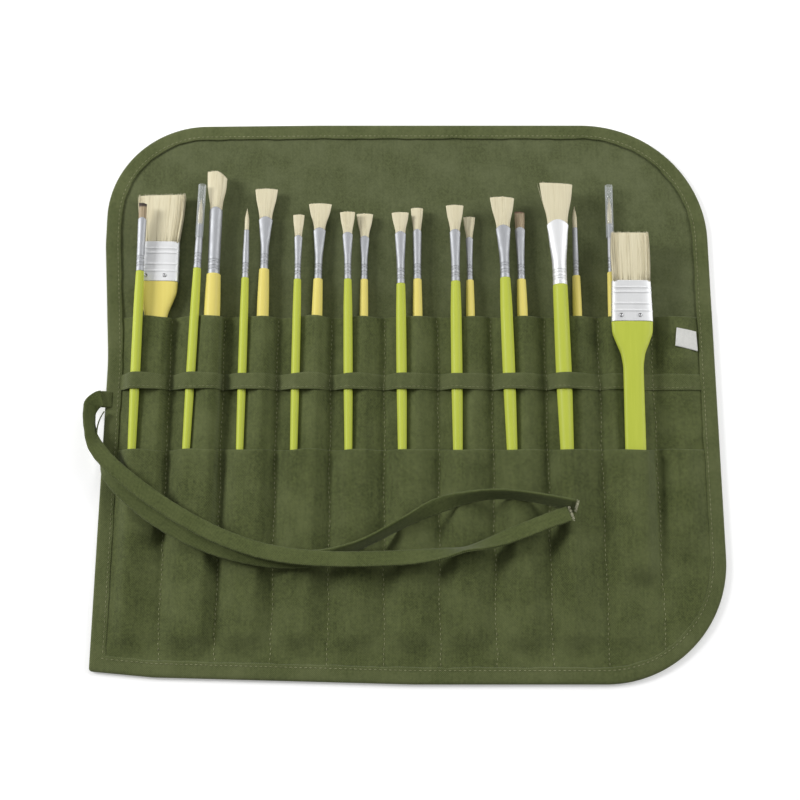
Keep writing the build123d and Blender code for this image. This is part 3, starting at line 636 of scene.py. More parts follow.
class BrushLine:
    # a brush lies on a straight line from its tail; sizes in millimetres along it
    def __init__(self, colour, row):
        (self.strip, self.kind, tipX, lowX, tipY, mouthY, baseY, self.tailY, tailZ, headZ,
         self.tipWidth, self.mouthWidth, self.baseWide, self.topWide, self.bellyWide) = row
        self.colour = colour
        self.name = f"{colour}_brush_{self.strip:02d}"
        slopeX = (tipX - lowX) / (tipY + 40)
        slopeZ = (headZ - tailZ) / (60 - self.tailY)
        self.tail = np.array([lowX + slopeX * (self.tailY + 40), self.tailY, tailZ])
        self.direction = unit(np.array([slopeX, 1.0, slopeZ]))
        stretch = math.sqrt(1 + slopeX**2 + slopeZ**2)
        self.length, self.mouth, self.base = [(v - self.tailY) * stretch for v in (tipY, mouthY, baseY)]
        self.across = unit(np.array([self.direction[1], -self.direction[0], 0.0]))
        self.up = np.cross(self.across, self.direction)
        belly = self.bellyWide / 2
        if self.kind == "wide":
            top, base = self.topWide / 2, self.base
            table = [(0, belly * 0.45), (3, belly * 0.82), (9, belly), (base * 0.45, belly * 1.02), (base - 30, belly),
                     (base - 21, belly * 1.18), (base - 13, top * 0.8), (base - 6, top * 0.975), (base, top)]
        else:
            tail = max(1.25, belly * 0.42)
            base = self.base
            table = [(0, tail * 0.5), (1.2, tail * 0.74), (4, tail), (base * 0.3, tail + (belly - tail) * 0.38),
                     (base * 0.55, tail + (belly - tail) * 0.78), (base * 0.76, belly), (base * 0.9, belly * 0.97),
                     (base, self.topWide / 2)]
        self.handleS, self.handleR = np.array(table).T

    def at(self, y):
        return self.tail + self.direction * ((np.asarray(y, float)[..., None] - self.tailY) / self.direction[1])

    def half(self, y):
        # half width and half thickness of what passes this y while the brush slides out
        run = np.maximum(np.asarray(y, float) - self.tailY, 0)
        if self.kind == "wide":
            widest = np.maximum.accumulate(self.handleR)
            return np.interp(np.maximum(run, 9) + 3, self.handleS, widest), np.full(run.shape, 3.1)
        widest = np.maximum.accumulate(self.handleR)
        r = np.interp(run + 12, self.handleS, widest)
        return r, r

    def place(self, local):
        # brush coordinates (across, along, up) to frame metres
        world = self.tail + local[..., :1] * self.across + local[..., 1:2] * self.direction + local[..., 2:] * self.up
        return framePoints(world)


brushes = {(c, row[0]): BrushLine(c, row) for c in brushUser for row in brushUser[c]}


# heights of the cloth over the handles
def seamX(number):
    if number == 0:
        return -caseUser["hinge"] - 43.0
    return (number - 5.5) * caseUser["pitch"]


def shapeCircles(brush, y, lift):
    # a handle seen end on as one or two circles (x, z, radius), grown by lift
    spot = brush.at(y)
    wide, tall = brush.half(y)
    shown = smoothstep((y - brush.tailY + 19) / 20)
    corner = 2.2
    if brush.kind == "wide":
        side = wide - corner
        lifted = spot[:, 2] + tall - corner
        return [(spot[:, 0] - side, lifted, corner + lift, shown), (spot[:, 0] + side, lifted, corner + lift, shown)]
    return [(spot[:, 0], spot[:, 2], wide + lift, shown)]


slopes = np.tan(np.linspace(-1.45, 1.45, 241))


def tautOver(x, left, right, base, circles):
    # the tight line over circles between two sewn points: at each slope the highest support, then the lowest line
    rows = x.shape[0]
    support = np.maximum(base - slopes * left, base - slopes * right)[None, :].repeat(rows, 0)
    grow = np.sqrt(1 + slopes**2)
    for cx, cz, r, shown in circles:
        # past the handle's tail its height sinks gradually to the cloth below
        sunkZ = base + (cz - base) * shown
        sunkR = np.asarray(r) * np.ones(rows) * shown
        level = sunkZ[:, None] - slopes * cx[:, None] + sunkR[:, None] * grow
        support = np.maximum(support, level)
    return (support[:, None, :] + slopes * x[:, :, None]).min(axis=2)


def pressedUnder(x, brush, y, gap):
    # the highest the cloth may be beneath a handle lying on it
    spot = brush.at(y)
    wide, tall = brush.half(y)
    limit = np.full(x.shape, 99.0)
    if brush.kind == "wide":
        dx = np.maximum(np.abs(x - spot[:, :1]) - (wide - 2.2)[:, None], 0)
        r = 2.2 + gap
        centre = (spot[:, 2] - tall + 2.2)[:, None]
    else:
        dx = np.abs(x - spot[:, :1])
        r = (wide + gap)[:, None]
        centre = spot[:, 2:3]
    low = centre - np.sqrt(np.maximum(r**2 - np.minimum(dx, 0.8 * r) ** 2, 0)) + np.maximum(dx - 0.8 * r, 0) * 1.33
    return np.where((y > brush.tailY - 4)[:, None], low, limit)


colsPerStrip = 26
flapLift = {"upper": [(-185, 0), (-20, 0), (0, 1.9), (10, 2.1), (20, 5.2), (47, 5.4)],
            "lower": [(-185, 0), (-112, 0), (-82, 5.2), (-37, 5.4)],
            "band": [(-20, 2.0), (60, 2.0)]}


def stripGrid(rowsY):
    # x of every column: even steps in each strip, closer together near the seams
    share = np.linspace(0, 1, colsPerStrip + 1)[:-1]
    share = share - 0.35 * np.sin(2 * math.pi * share) / (2 * math.pi)
    edges = [-194.0] + [seamX(n) for n in range(1, 11)] + [caseUser["rightInner"] + 12]
    columns = np.concatenate([edges[i] + (edges[i + 1] - edges[i]) * share for i in range(11)] + [[edges[-1]]])
    return np.meshgrid(columns, rowsY)


def seamDips(x, y, depth, width):
    # the cloth is pulled down along each seam: narrow valley plus small diagonal puckers
    total = np.zeros(x.shape)
    for n in range(1, 11):
        away = np.abs(x - seamX(n))
        wobble = 0.8 * np.sin(y * 0.55 + n) + 0.5 * np.sin(y * 1.13 + 2.3 * n)
        total -= depth * np.exp(-(away / width) ** 2) * (1 + 0.3 * wobble)
        total += 0.2 * np.exp(-((away - 3.0) / 2.2) ** 2) * wobble
    return total


def sheetHeights(kind, x, y):
    # top of a cloth at every grid point
    rowsY = y[:, 0]
    base = {"upper": caseUser["upperTop"], "lower": caseUser["lowerTop"], "band": caseUser["lowerTop"]}[kind]
    z = np.full(x.shape, base)
    for strip in range(1, 11):
        left, right = seamX(strip - 1), seamX(strip)
        if strip == 1:
            left = caseUser["leftInner"]
        mask = (x[0] >= left - 1e-9) & (x[0] <= right + 1e-9)
        xs = x[:, mask]
        yellow, green = brushes[("yellow", strip)], brushes[("green", strip)]
        if kind == "upper":
            tent = tautOver(xs, left + 1, right - 1, base, shapeCircles(yellow, rowsY, 1.0))
            tent = np.minimum(tent, pressedUnder(xs, green, rowsY, 0.35))
            ring = np.full(xs.shape, base)
            for cx, cz, r, shown in shapeCircles(yellow, rowsY, 0.95):
                dx = np.abs(xs - cx[:, None])
                top = cz[:, None] + np.sqrt(np.maximum(np.asarray(r)[..., None] ** 2 * np.ones(dx.shape) - dx**2, 0))
                ring = np.where((dx < np.asarray(r)[..., None]) & (shown[:, None] > 0.99), np.maximum(ring, top), ring)
            if yellow.kind == "wide":
                spot = yellow.at(rowsY)
                wide = yellow.half(rowsY)[0]
                flatTop = (spot[:, 2] + 3.1 + 0.95)[:, None]
                inSpan = (np.abs(xs - spot[:, :1]) < (wide - 2.2)[:, None]) & ((rowsY > yellow.tailY - 4)[:, None])
                ring = np.where(inSpan, np.maximum(ring, flatTop), ring)
            height = np.maximum(np.maximum(tent, ring), base)
        elif kind == "lower":
            circles = shapeCircles(yellow, rowsY, 2.0) + shapeCircles(green, rowsY, 1.4)
            height = np.maximum(tautOver(xs, left + 1.2, right - 1.2, base, circles), base)
            height = base + (height - base) * smoothstep((rowsY + 167) / 20)[:, None]
        else:
            circles = shapeCircles(yellow, rowsY, 1.8)
            if strip != 10:
                circles += shapeCircles(green, rowsY, 1.25)
            height = np.maximum(tautOver(xs, left + 1.2, right - 1.2, base, circles), base)
            if strip == 10:
                height = np.minimum(height, np.maximum(pressedUnder(xs, green, rowsY, 0.35), base + 0.1))
        z[:, mask] = height
    table = flapLift[kind]
    rise = smoothCurve(rowsY, [t[0] for t in table], [t[1] for t in table])
    share = np.clip((x - 150.95) / (176.5 - 150.95), 0, 1)
    z = np.where(x > 150.0, base + rise[:, None] * np.sin(math.pi * share) ** 0.8, z)
    return z


def clothPiece(name, kind, rowsY, material, nodes, thickness, dip=0.42, crease=0.16, inset=3.0, pull=0.2):
    # one cloth: heights over the grid, seam valleys, soft creases, trimmed under the binding
    x, y = stripGrid(rowsY)
    z = sheetHeights(kind, x, y)
    raised = np.clip((z - caseUser["upperTop"]) / 3, 0, 1)
    z = z + seamDips(x, y, dip, 1.4) + crease * softNoise(x, y, 16, 3) * raised * 0.8
    z = np.maximum(z, {"upper": 2.0, "lower": 2.5, "band": 2.6}[kind])
    # the free top edge is pulled back where it is lifted, wavers a little and rolls over
    lip = smoothstep((y - (rowsY[-1] - 1.2)) / 1.2)
    nearEdge = smoothstep((y - rowsY[-1] + 20) / 18) if kind != "band" else 1.0
    y = y - pull * (z - z.min()) * nearEdge
    y = y + smoothstep((y - rowsY[-1] + 12) / 12) * (0.45 * softNoise(x, 0 * y, 26, 11) + 0.25 * np.cos(2 * math.pi * x / 33))
    z = z + 0.18 * smoothstep((y - rowsY[-1] + 3) / 2) - 0.4 * lip
    points = np.stack([x, y, z], axis=-1).reshape(-1, 3)
    faces = gridFaces(*x.shape)
    points, faces = trimToLine(points, faces, outlineLine(inset))
    piece = newPiece(name, framePoints(points), faces, material)
    cloth(piece, thickness)
    print(name, "done", len(faces), "faces")
    return settle(piece, nodes)


upperRows = np.r_[np.arange(-175.0, -40, 3.0), np.arange(-40, 44, 2.0), 44, 45, 45.8, 46.5, 47.0]
lowerRows = np.r_[np.arange(-175.0, -158, 2.0), np.arange(-158, -40, 1.9), -39.4, -38.5, -37.7, -37.0]
bandRows = np.r_[0.0, 0.35, 0.8, 1.6, 2.6, 4.0, 5.5, 7.0, 8.4, 9.2, 9.7, 10.0]
upperSheet = clothPiece("upperPocketCloth", "upper", upperRows, oliveCanvas, ("upper_pocket", "end_flap_upper_pocket"), 0.55)
lowerSheet = clothPiece("lowerPocketCloth", "lower", lowerRows, oliveCanvas, ("lower_pocket", "end_flap_lower_pocket"), 0.55)
bandSheet = clothPiece("retainingBandCloth", "band", bandRows, oliveTape, ("retaining_band", "end_flap_band"), 0.55, dip=0.2, pull=0.14)


def flatCloth(name, top, bottomUp, step, inset, nodes, material, thickness, ripple):
    # a plain cloth sheet over the whole case, with faint ripples that die away near the binding
    xs = np.arange(-196, 190 + step, step)
    ys = np.arange(-178, 178 + step, step)
    x, y = np.meshgrid(xs, ys)
    z = top + ripple * np.maximum(softNoise(x, y, 42, 21), -0.2) * smoothstep((y - 50) / 20) * smoothstep((158 - y) / 25)
    points = np.stack([x, y, z], axis=-1).reshape(-1, 3)
    faces = gridFaces(*x.shape)
    if bottomUp:
        faces = faces[:, ::-1]
    points, faces = trimToLine(points, faces, outlineLine(inset))
    piece = newPiece(name, framePoints(points), faces, material)
    cloth(piece, thickness)
    return settle(piece, nodes)


liningSheet = flatCloth("liningCloth", 1.7, False, 2.4, 3.0, ("lining", "end_flap_lining"), oliveLining, 0.55, 0.14)
coverSheet = flatCloth("outerCoverCloth", 0.02, True, 4.0, 3.0, ("outer_cover", "end_flap_cover"), oliveCanvas, 1.0, 0.0)
print("lining and cover done")


# edge binding
bindingUser = {
    # inset from the edge and height as a share of the full height, round the tape's section from the lip outwards
    "top": [(9.6, 0.74), (9.75, 0.86), (9.5, 0.97), (8.9, 1.0), (8.3, 0.965), (7.6, 0.95), (6.0, 0.965), (4.0, 0.97),
            (2.2, 0.965), (1.1, 0.93), (0.45, 0.8), (0.08, 0.62), (0.0, 0.45), (0.1, 0.24), (0.5, 0.07)],
    "under": [(1.4, 0.012), (4.0, 0.012), (7.5, 0.012), (9.3, 0.012)],
    "wander": 0.35,
}


def bindingHeight(x, y):
    # full height of the tape: lower past the pockets' top edge
    drop = smoothstep((y - 48.0) / 6.0)
    return caseUser["bindingTop"] * (1 - drop) + caseUser["bindingTopBare"] * drop


def layerTop(y):
    # top of the cloth next to the binding
    return np.where(y > 47, 1.7, np.where(y > -37, 2.3, 2.9))


def makeBinding(user):
    # carries the folded tape's section round the outline; the inner lip wanders and puckers a little
    base = outlineLine(0.0)
    walk = runLength(base)
    total = walk[-1] + np.linalg.norm(base[0] - base[-1])
    lap = 2 * math.pi * walk / total
    wander = user["wander"] * (0.5 * np.sin(lap * 31) + 0.35 * np.sin(lap * 67 + 1) + 0.3 * np.sin(lap * 113 + 2))
    pucker = 0.5 * np.sin(lap * 160) + 0.5 * np.sin(lap * 233 + 1)
    rings = []
    for inset, share in user["top"]:
        line = outlineLine(inset)
        inner = np.clip((inset - 5) / 4, 0, 1)
        direction = unit(outlineLine(inset + 0.5) - line)
        line = line + direction * (wander * inner)[:, None]
        z = bindingHeight(line[:, 0], line[:, 1]) * share
        z = z - 0.05 * (1 + pucker) * inner * (share > 0.9)
        if inset > 9.55 and share < 0.8:
            z = layerTop(line[:, 1]) - 0.1
        rings.append(np.c_[line, z])
    for inset, share in user["under"]:
        line = outlineLine(inset)
        rings.append(np.c_[line, bindingHeight(line[:, 0], line[:, 1]) * share])
    inner = outlineLine(9.4)
    rings.append(np.c_[inner, np.full(len(inner), 1.2)])
    points = np.stack(rings)
    rows, cols = points.shape[:2]
    faces = gridFaces(rows + 1, cols, True)
    faces = np.where(faces >= rows * cols, faces - rows * cols, faces)
    piece = newPiece("edgeBindingTape", framePoints(points), faces, oliveTape, outward=True)
    settle(piece, ("edge_binding", "end_flap_binding"))


makeBinding(bindingUser)
print("binding done")


# stitches
stitchUser = {"length": 1.6, "gap": 1.3, "thick": 0.56}


def stitchMesh(centres, directions, ups, user, jitter=0.12):
    # each stitch is a little raised bar of four-sided rings, sunk at both ends
    n = len(centres)
    local = np.random.default_rng(5)
    directions = unit(directions + local.normal(0, jitter, directions.shape))
    side = unit(np.cross(directions, ups))
    ups = np.cross(side, directions)
    stations = np.array([(-0.5, 0.35, -0.35), (-0.36, 0.9, 0.05), (-0.12, 1.0, 0.3), (0.12, 1.0, 0.3), (0.36, 0.9, 0.05), (0.5, 0.35, -0.35)])
    ringAngles = np.array([0.25, 0.75, 1.25, 1.75]) * math.pi
    t = user["thick"] / 2
    length = user["length"] * local.uniform(0.85, 1.1, n)
    along = stations[:, 0][None, :] * length[:, None]
    scale = stations[:, 1] * t
    lift = stations[:, 2] * t
    points = (centres[:, None, None, :] + directions[:, None, None, :] * along[:, :, None, None]
              + side[:, None, None, :] * (scale[:, None] * np.cos(ringAngles))[None, :, :, None] * 1.1
              + ups[:, None, None, :] * (scale[:, None] * np.sin(ringAngles) + lift[:, None])[None, :, :, None])
    one = np.vstack([gridFaces(6, 4, True), [[3, 2, 1, 0]], [[20, 21, 22, 23]]])
    faces = (one[None] + (np.arange(n) * 24)[:, None, None]).reshape(-1, 4)
    return points.reshape(-1, 3), faces


def topOfCloths(x, y):
    # height of the topmost cloth at points along a seam, with the seam's own valley
    z = np.where(y > -37, caseUser["upperTop"], caseUser["lowerTop"]) - 0.3
    return np.where(np.abs(y - caseUser["bandCentre"]) < caseUser["bandWidth"] / 2, caseUser["lowerTop"] - 0.12, z)


def seamStitches():
    # ten seams from the upper pocket's edge to the bottom, each wandering a little; then the binding's own row
    pitch = stitchUser["length"] + stitchUser["gap"]
    centres = []
    directions = []
    for n in range(1, 11):
        y = np.arange(-165, 46.5, pitch)
        x = seamX(n) + 0.4 * np.sin(y * 0.11 + n) + 0.24 * np.sin(y * 0.55 + 2 * n) + 0.12 * np.sin(y * 1.7 + 3 * n)
        centres.append(np.c_[x, y, topOfCloths(x, y)])
        directions.append(np.tile([0.0, 1.0, 0.0], (len(y), 1)))
    line = outlineLine(7.9, 1.0)
    walk = runLength(line)
    at = np.arange(0, walk[-1], pitch)
    x = np.interp(at, walk, line[:, 0])
    y = np.interp(at, walk, line[:, 1])
    ahead = unit(np.c_[np.gradient(x), np.gradient(y), np.zeros(len(x))])
    centres.append(np.c_[x, y, bindingHeight(x, y) * 0.955])
    directions.append(ahead)
    centres = np.vstack(centres)
    directions = np.vstack(directions)
    points, faces = stitchMesh(centres, directions, np.tile([0.0, 0.0, 1.0], (len(centres), 1)), stitchUser, 0.07)
    piece = newPiece("seamStitches", framePoints(points), faces, threadMaterial)
    settle(piece)


seamStitches()


def bandStitches():
    # a row along the band's lower edge, following its ups and downs
    xs = np.arange(-178.0, 175.0, 2.6)
    y = 1.5 + 0.2 * np.sin(xs * 0.3)
    grid = sheetHeights("band", xs[None, :], np.full((1, len(xs)), 1.5))[0]
    centres = np.c_[xs, y - 0.14 * (grid - grid.min()), grid + 0.06]
    ahead = unit(np.c_[np.gradient(xs), np.gradient(y), np.gradient(grid)])
    side = np.tile([0.0, 1.0, 0.0], (len(xs), 1))
    ups = np.cross(ahead, side)
    points, faces = stitchMesh(centres, ahead, ups, {"length": 1.9, "gap": 0.7, "thick": 0.3}, 0.06)
    piece = newPiece("bandStitches", framePoints(points), faces, threadMaterial)
    settle(piece)


bandStitches()
print("stitches done")


# brushes
def barMesh(s, halfWide, halfDeep, square, around=32, capStart=True, capEnd=True, turn=None):
    # rings of a superellipse along s; square 1 is an oval, below 1 is boxier; ends closed with a point
    angle = np.linspace(0, 2 * math.pi, around, endpoint=False)
    c, sn = np.cos(angle), np.sin(angle)
    power = np.asarray(square)[..., None] * np.ones((len(s), 1))
    x = halfWide[:, None] * np.sign(c) * np.abs(c) ** power
    z = halfDeep[:, None] * np.sign(sn) * np.abs(sn) ** power
    points = np.stack([x, np.repeat(s[:, None], around, 1), z], axis=-1)
    rows = len(s)
    faces = gridFaces(rows, around, True).tolist()
    flat = points.reshape(-1, 3)
    extra = []
    if capStart:
        extra.append([0, s[0], 0])
        top = len(flat) + len(extra) - 1
        faces += [[top, (i + 1) % around, i] for i in range(around)]
    if capEnd:
        extra.append([0, s[-1], 0])
        top = len(flat) + len(extra) - 1
        last = (rows - 1) * around
        faces += [[top, last + i, last + (i + 1) % around] for i in range(around)]
    if extra:
        flat = np.vstack([flat, extra])
    return flat, faces


def addBrushPiece(brush, name, local, faces, material, nodes=()):
    piece = newPiece(name, brush.place(local), faces, material, outward=True)
    settle(piece, nodes, brush.name)


def makeHandle(brush, material):
    # swelling handle with a rounded tail, closed at the ferrule end where it goes inside
    base = brush.base
    s = np.unique(np.r_[np.linspace(0, 6, 12), np.linspace(6, base - 32, 26), np.linspace(base - 32, base, 26)])
    wide = smoothCurve(s, brush.handleS, brush.handleR)
    if brush.kind == "wide":
        deep = (4.4 + 1.8 * np.clip(s / (base - 20), 0, 1)) / 2
        deep = deep * np.sqrt(np.clip(s / 3.5, 0.08, 1))
        wide = wide * np.sqrt(np.clip(s / 5.0, 0.05, 1))
        square = 0.62
    else:
        wide = wide * np.sqrt(np.clip(s / 2.0, 0.05, 1))
        deep = wide
        square = 1.0
    # square shoulder at the ferrule, then a peg that goes inside it
    peg = min(brush.baseWide / 2 - 0.25, wide[-1] - 0.3)
    pegDeep = min(3.0, deep[-1] - 0.2) if brush.kind == "wide" else peg
    s = np.r_[s[:-1], base - 0.25, base, base + 0.02, base + 1.5]
    wide = np.r_[wide[:-1], wide[-1], wide[-1] - 0.15, peg, peg]
    deep = np.r_[deep[:-1], deep[-1], deep[-1] - 0.12, pegDeep, pegDeep]
    local, faces = barMesh(s, wide, deep, square, 36)
    addBrushPiece(brush, brush.name + "Handle", local, faces, material,
                  (brush.name + "_handle",))


def mouthDip(brush):
    # how far a flattened ferrule's mouth is lower at its two sides than in the middle
    return {"wide": 0.0, "round": 0.0}.get(brush.kind, 0.24 * brush.mouthWidth)


def makeFerrule(brush):
    # metal tube, round where it is crimped on the handle and pressed to the tuft's shape at its mouth
    base, mouth = brush.base, brush.mouth
    length = mouth - base
    s = np.unique(np.r_[np.linspace(0, 12, 49), np.linspace(12, length, 40)])
    r0 = brush.baseWide / 2
    if brush.kind == "wide":
        share = s / length
        wide = (brush.baseWide + (brush.mouthWidth - brush.baseWide) * share) / 2
        deep = (6.8 * (1 - 0.06 * share)) / 2
        ridge = np.zeros(len(s))
        for at in (6.5, 11.0):
            ridge += 0.18 * np.exp(-((s - at) / 0.55) ** 2)
        for at in (length - 7.5, length - 4.5):
            ridge += 0.2 * np.exp(-((s - at) / 0.5) ** 2)
        s2 = np.unique(np.r_[s, np.linspace(length - 9, length, 30)])
        wide, deep, ridge = (np.interp(s2, s, v) for v in (wide, deep, ridge))
        for at in (6.5, 11.0):
            ridge = np.maximum(ridge, 0.18 * np.exp(-((s2 - at) / 0.55) ** 2))
        for at in (length - 7.5, length - 4.5):
            ridge = np.maximum(ridge, 0.2 * np.exp(-((s2 - at) / 0.5) ** 2))
        s = s2
        wide, deep = wide + ridge, deep + ridge
        square = np.full(len(s), 0.5)
        around = 72
    else:
        if brush.kind == "round":
            mouthR = brush.mouthWidth / 2 + 0.35
            if (brush.colour, brush.strip) in (("green", 2), ("yellow", 10)):
                mouthR = 1.7
            knots = [0, 12, 17, length * 0.75, length]
            wide = smoothCurve(s, knots, [r0, r0, r0 * 0.97, (r0 * 0.97 + mouthR) / 2 * 0.98, mouthR])
            deep = wide.copy()
        else:
            mouthT = max(2.2, min(brush.baseWide * 0.62, 4.6))
            if brush.mouthWidth < brush.baseWide * 1.15:
                mouthT = brush.baseWide * 0.8
            knots = [0, 12, (12 + length) / 2, length]
            wide = smoothCurve(s, knots, [r0, r0, (r0 + brush.mouthWidth / 2) / 2, brush.mouthWidth / 2])
            deep = smoothCurve(s, knots, [r0, r0, (r0 + mouthT / 2) / 2, mouthT / 2])
        groove = np.zeros(len(s))
        for at in (3.4, 5.0, 7.6, 9.2):
            groove -= 0.26 * np.exp(-((s - at) / 0.42) ** 2)
        wide, deep = wide + groove, deep + groove
        square = np.ones(len(s))
        around = 48
    # turned-in lip at the mouth
    s = np.r_[s, length + 0.12, length + 0.05, length - 0.8] + base
    wide = np.r_[wide, wide[-1] - 0.14, wide[-1] - 0.34, wide[-1] - 0.38]
    deep = np.r_[deep, deep[-1] - 0.14, deep[-1] - 0.34, deep[-1] - 0.38]
    square = np.r_[square, square[-1], square[-1], square[-1]]
    local, faces = barMesh(s, wide, deep, square, around)
    if brush.kind != "wide":
        # knurled rings: small teeth between the grooves
        angle = np.arctan2(local[:, 2], local[:, 0])
        run = local[:, 1] - base
        teeth = 0.12 * np.sin(angle * 20) * (np.exp(-((run - 4.2) / 0.5) ** 2) + np.exp(-((run - 8.4) / 0.5) ** 2))
        r = np.hypot(local[:, 0], local[:, 2])
        grow = np.where(r > 0.5, 1 + teeth / np.maximum(r, 0.5), 1)
        local[:, 0] *= grow
        local[:, 2] *= grow
        dip = mouthDip(brush) * (local[:, 0] / (brush.mouthWidth / 2)) ** 2
        local[:, 1] -= dip * smoothstep((run - length + 10) / 10)
    metal = satinMetal if brush.kind == "wide" or (brush.colour == "green" and brush.strip == 9) else ferruleMetal
    addBrushPiece(brush, brush.name + "Ferrule", local, faces, metal, (brush.name + "_head",))


tuftUser = {
    # how far the outer hairs fall short of the tip at each side, as a share of the tuft, and the fan beyond the core
    ("green", 1): {"drop": (0.0, 0.08), "fan": 1.0}, ("green", 9): {"drop": (-0.03, 0.04), "fan": 1.0},
    ("green", 8): {"drop": (0.02, 0.06), "fan": 1.0}, ("yellow", 2): {"drop": (0.02, 0.2), "fan": 1.0, "belly": 1.12},
    ("yellow", 1): {"drop": (0.02, -0.02), "fan": 1.03}, ("green", 10): {"drop": (0.0, 0.0), "fan": 1.0},
    ("yellow", 8): {"drop": (0.0, 0.06), "fan": 1.0},
}


def makeTuft(brush, material):
    # a closed core of hair and, round it, separate tapering hairs that make the ragged outline
    base, mouth, tip = brush.base, brush.mouth, brush.length
    reach = tip - mouth
    settings = tuftUser.get((brush.colour, brush.strip), {"drop": (0.03, 0.03), "fan": 1.0})
    dropLeft, dropRight = settings["drop"]
    wideMouth = brush.mouthWidth / 2 - 0.35
    if brush.kind == "wide":
        deepMouth, deepTip, square = 2.85, 1.35, 0.55
        wideMouth -= 0.1
        count = 420
    elif brush.kind == "round":
        wideMouth = brush.mouthWidth / 2 + 0.05
        if (brush.colour, brush.strip) in (("green", 2), ("yellow", 10)):
            wideMouth = 1.3
        deepMouth, deepTip, square = wideMouth, brush.tipWidth * 0.42, 1.0
        count = 110
    else:
        mouthT = max(2.2, min(brush.baseWide * 0.62, 4.6))
        if brush.mouthWidth < brush.baseWide * 1.15:
            mouthT = brush.baseWide * 0.8
        deepMouth = mouthT / 2 - 0.35
        deepTip, square = max(0.55, deepMouth * 0.5), 1.0
        count = 260
    wideTip = brush.tipWidth / 2
    bellyWide = (wideTip * 0.62 + wideMouth * 0.38) * settings.get("belly", 1.04)
    if brush.kind == "round":
        bellyWide = wideMouth * 1.06

    def halfWidth(t):
        return smoothCurve(t, [-0.5, 0, 0.6, 1], [wideMouth * 0.9, wideMouth, bellyWide, wideTip])

    def halfDepth(t):
        return smoothCurve(t, [0, 0.2, 0.6, 1], [deepMouth, deepMouth * 1.03, (deepMouth + deepTip) / 2 * 1.05, deepTip])

    def endShare(u):
        # share of the full length that hairs at u (left -1, right 1) reach
        curve = np.where(u < 0, dropLeft, dropRight) * np.abs(u) ** 1.3
        if brush.kind == "round":
            curve = 0.5 * np.abs(u) ** 1.3
        return 1 - curve

    t = np.linspace(0, 1, 18)
    around = 40
    rootDepth = (mouthDip(brush) + 0.8) / reach
    run = (t * (1.0 + rootDepth) - rootDepth) * 0.965
    local, faces = barMesh(mouth + reach * run, halfWidth(run), halfDepth(run), np.full(18, square), around)
    u = np.clip(local[:, 0] / np.maximum(np.interp(local[:, 1], mouth + reach * t, halfWidth(t)), 0.2), -1, 1)
    run = np.clip((local[:, 1] - mouth) / reach, 0, 1)
    local[:, 1] = mouth + (local[:, 1] - mouth) * np.where(run > 0, 1 - (1 - endShare(u)) * run, 1)
    addBrushPiece(brush, brush.name + "Tuft", local, faces, material)
    # hairs: root in the mouth, tip in the fanned outline
    local = np.random.default_rng(100 + brush.strip + (50 if brush.colour == "green" else 0))
    angle = local.uniform(0, 2 * math.pi, count)
    radius = np.sqrt(local.uniform(0.45, 1, count))
    if brush.kind == "wide":
        u0 = local.uniform(-1, 1, count)
        v0 = np.sign(local.uniform(-1, 1, count)) * local.uniform(0.6, 1, count)
        edge = local.uniform(0, 1, count) < 0.12
        u0 = np.where(edge, np.sign(u0) * local.uniform(0.9, 1.0, count), u0)
        v0 = np.where(edge, local.uniform(-1, 1, count), v0)
    else:
        u0, v0 = radius * np.cos(angle), radius * np.sin(angle)
    steps = np.linspace(0, 1, 7)
    lengths = endShare(u0) * local.uniform(0.94, 1.0, count)
    stray = local.uniform(0, 1, count) < (0.06 if brush.kind == "wide" else 0.04)
    lengths = np.where(stray, lengths * local.uniform(0.94, 1.02, count), lengths)
    bend = local.normal(0, 0.02, count) * wideTip + np.where(stray, local.normal(0, 0.09, count) * wideTip, 0)
    bendZ = local.normal(0, 0.08, count) * deepTip
    # hairs start below the ferrule's curved lip
    tt = -rootDepth * 0.8 + (lengths[:, None] + rootDepth * 0.8) * steps[None, :]
    fan = 1 + (settings["fan"] - 1) * tt**2
    px = u0[:, None] * halfWidth(tt) * fan * 0.985 + bend[:, None] * tt**2
    pz = v0[:, None] * halfDepth(tt) * 1.0 + bendZ[:, None] * tt**2
    py = mouth + reach * tt
    centre = np.stack([px, py, pz], axis=-1)
    thick = (0.2 if brush.kind == "wide" else 0.15) * (1 - 0.75 * steps**2)
    ring = np.array([0.1, 0.77, 1.43]) * math.pi
    offsets = np.stack([np.cos(ring), np.zeros(3), np.sin(ring)], axis=-1)
    points = centre[:, :, None, :] + offsets[None, None] * thick[None, :, None, None]
    one = gridFaces(7, 3, True)
    caps = np.array([[0, 2, 1], [18, 19, 20]])
    shift = (np.arange(count) * 21)[:, None, None]
    hairFaces = (one[None] + shift).reshape(-1, 4).tolist() + (caps[None] + shift).reshape(-1, 3).tolist()
    addBrushPiece(brush, brush.name + "Hairs", points.reshape(-1, 3), hairFaces, material)


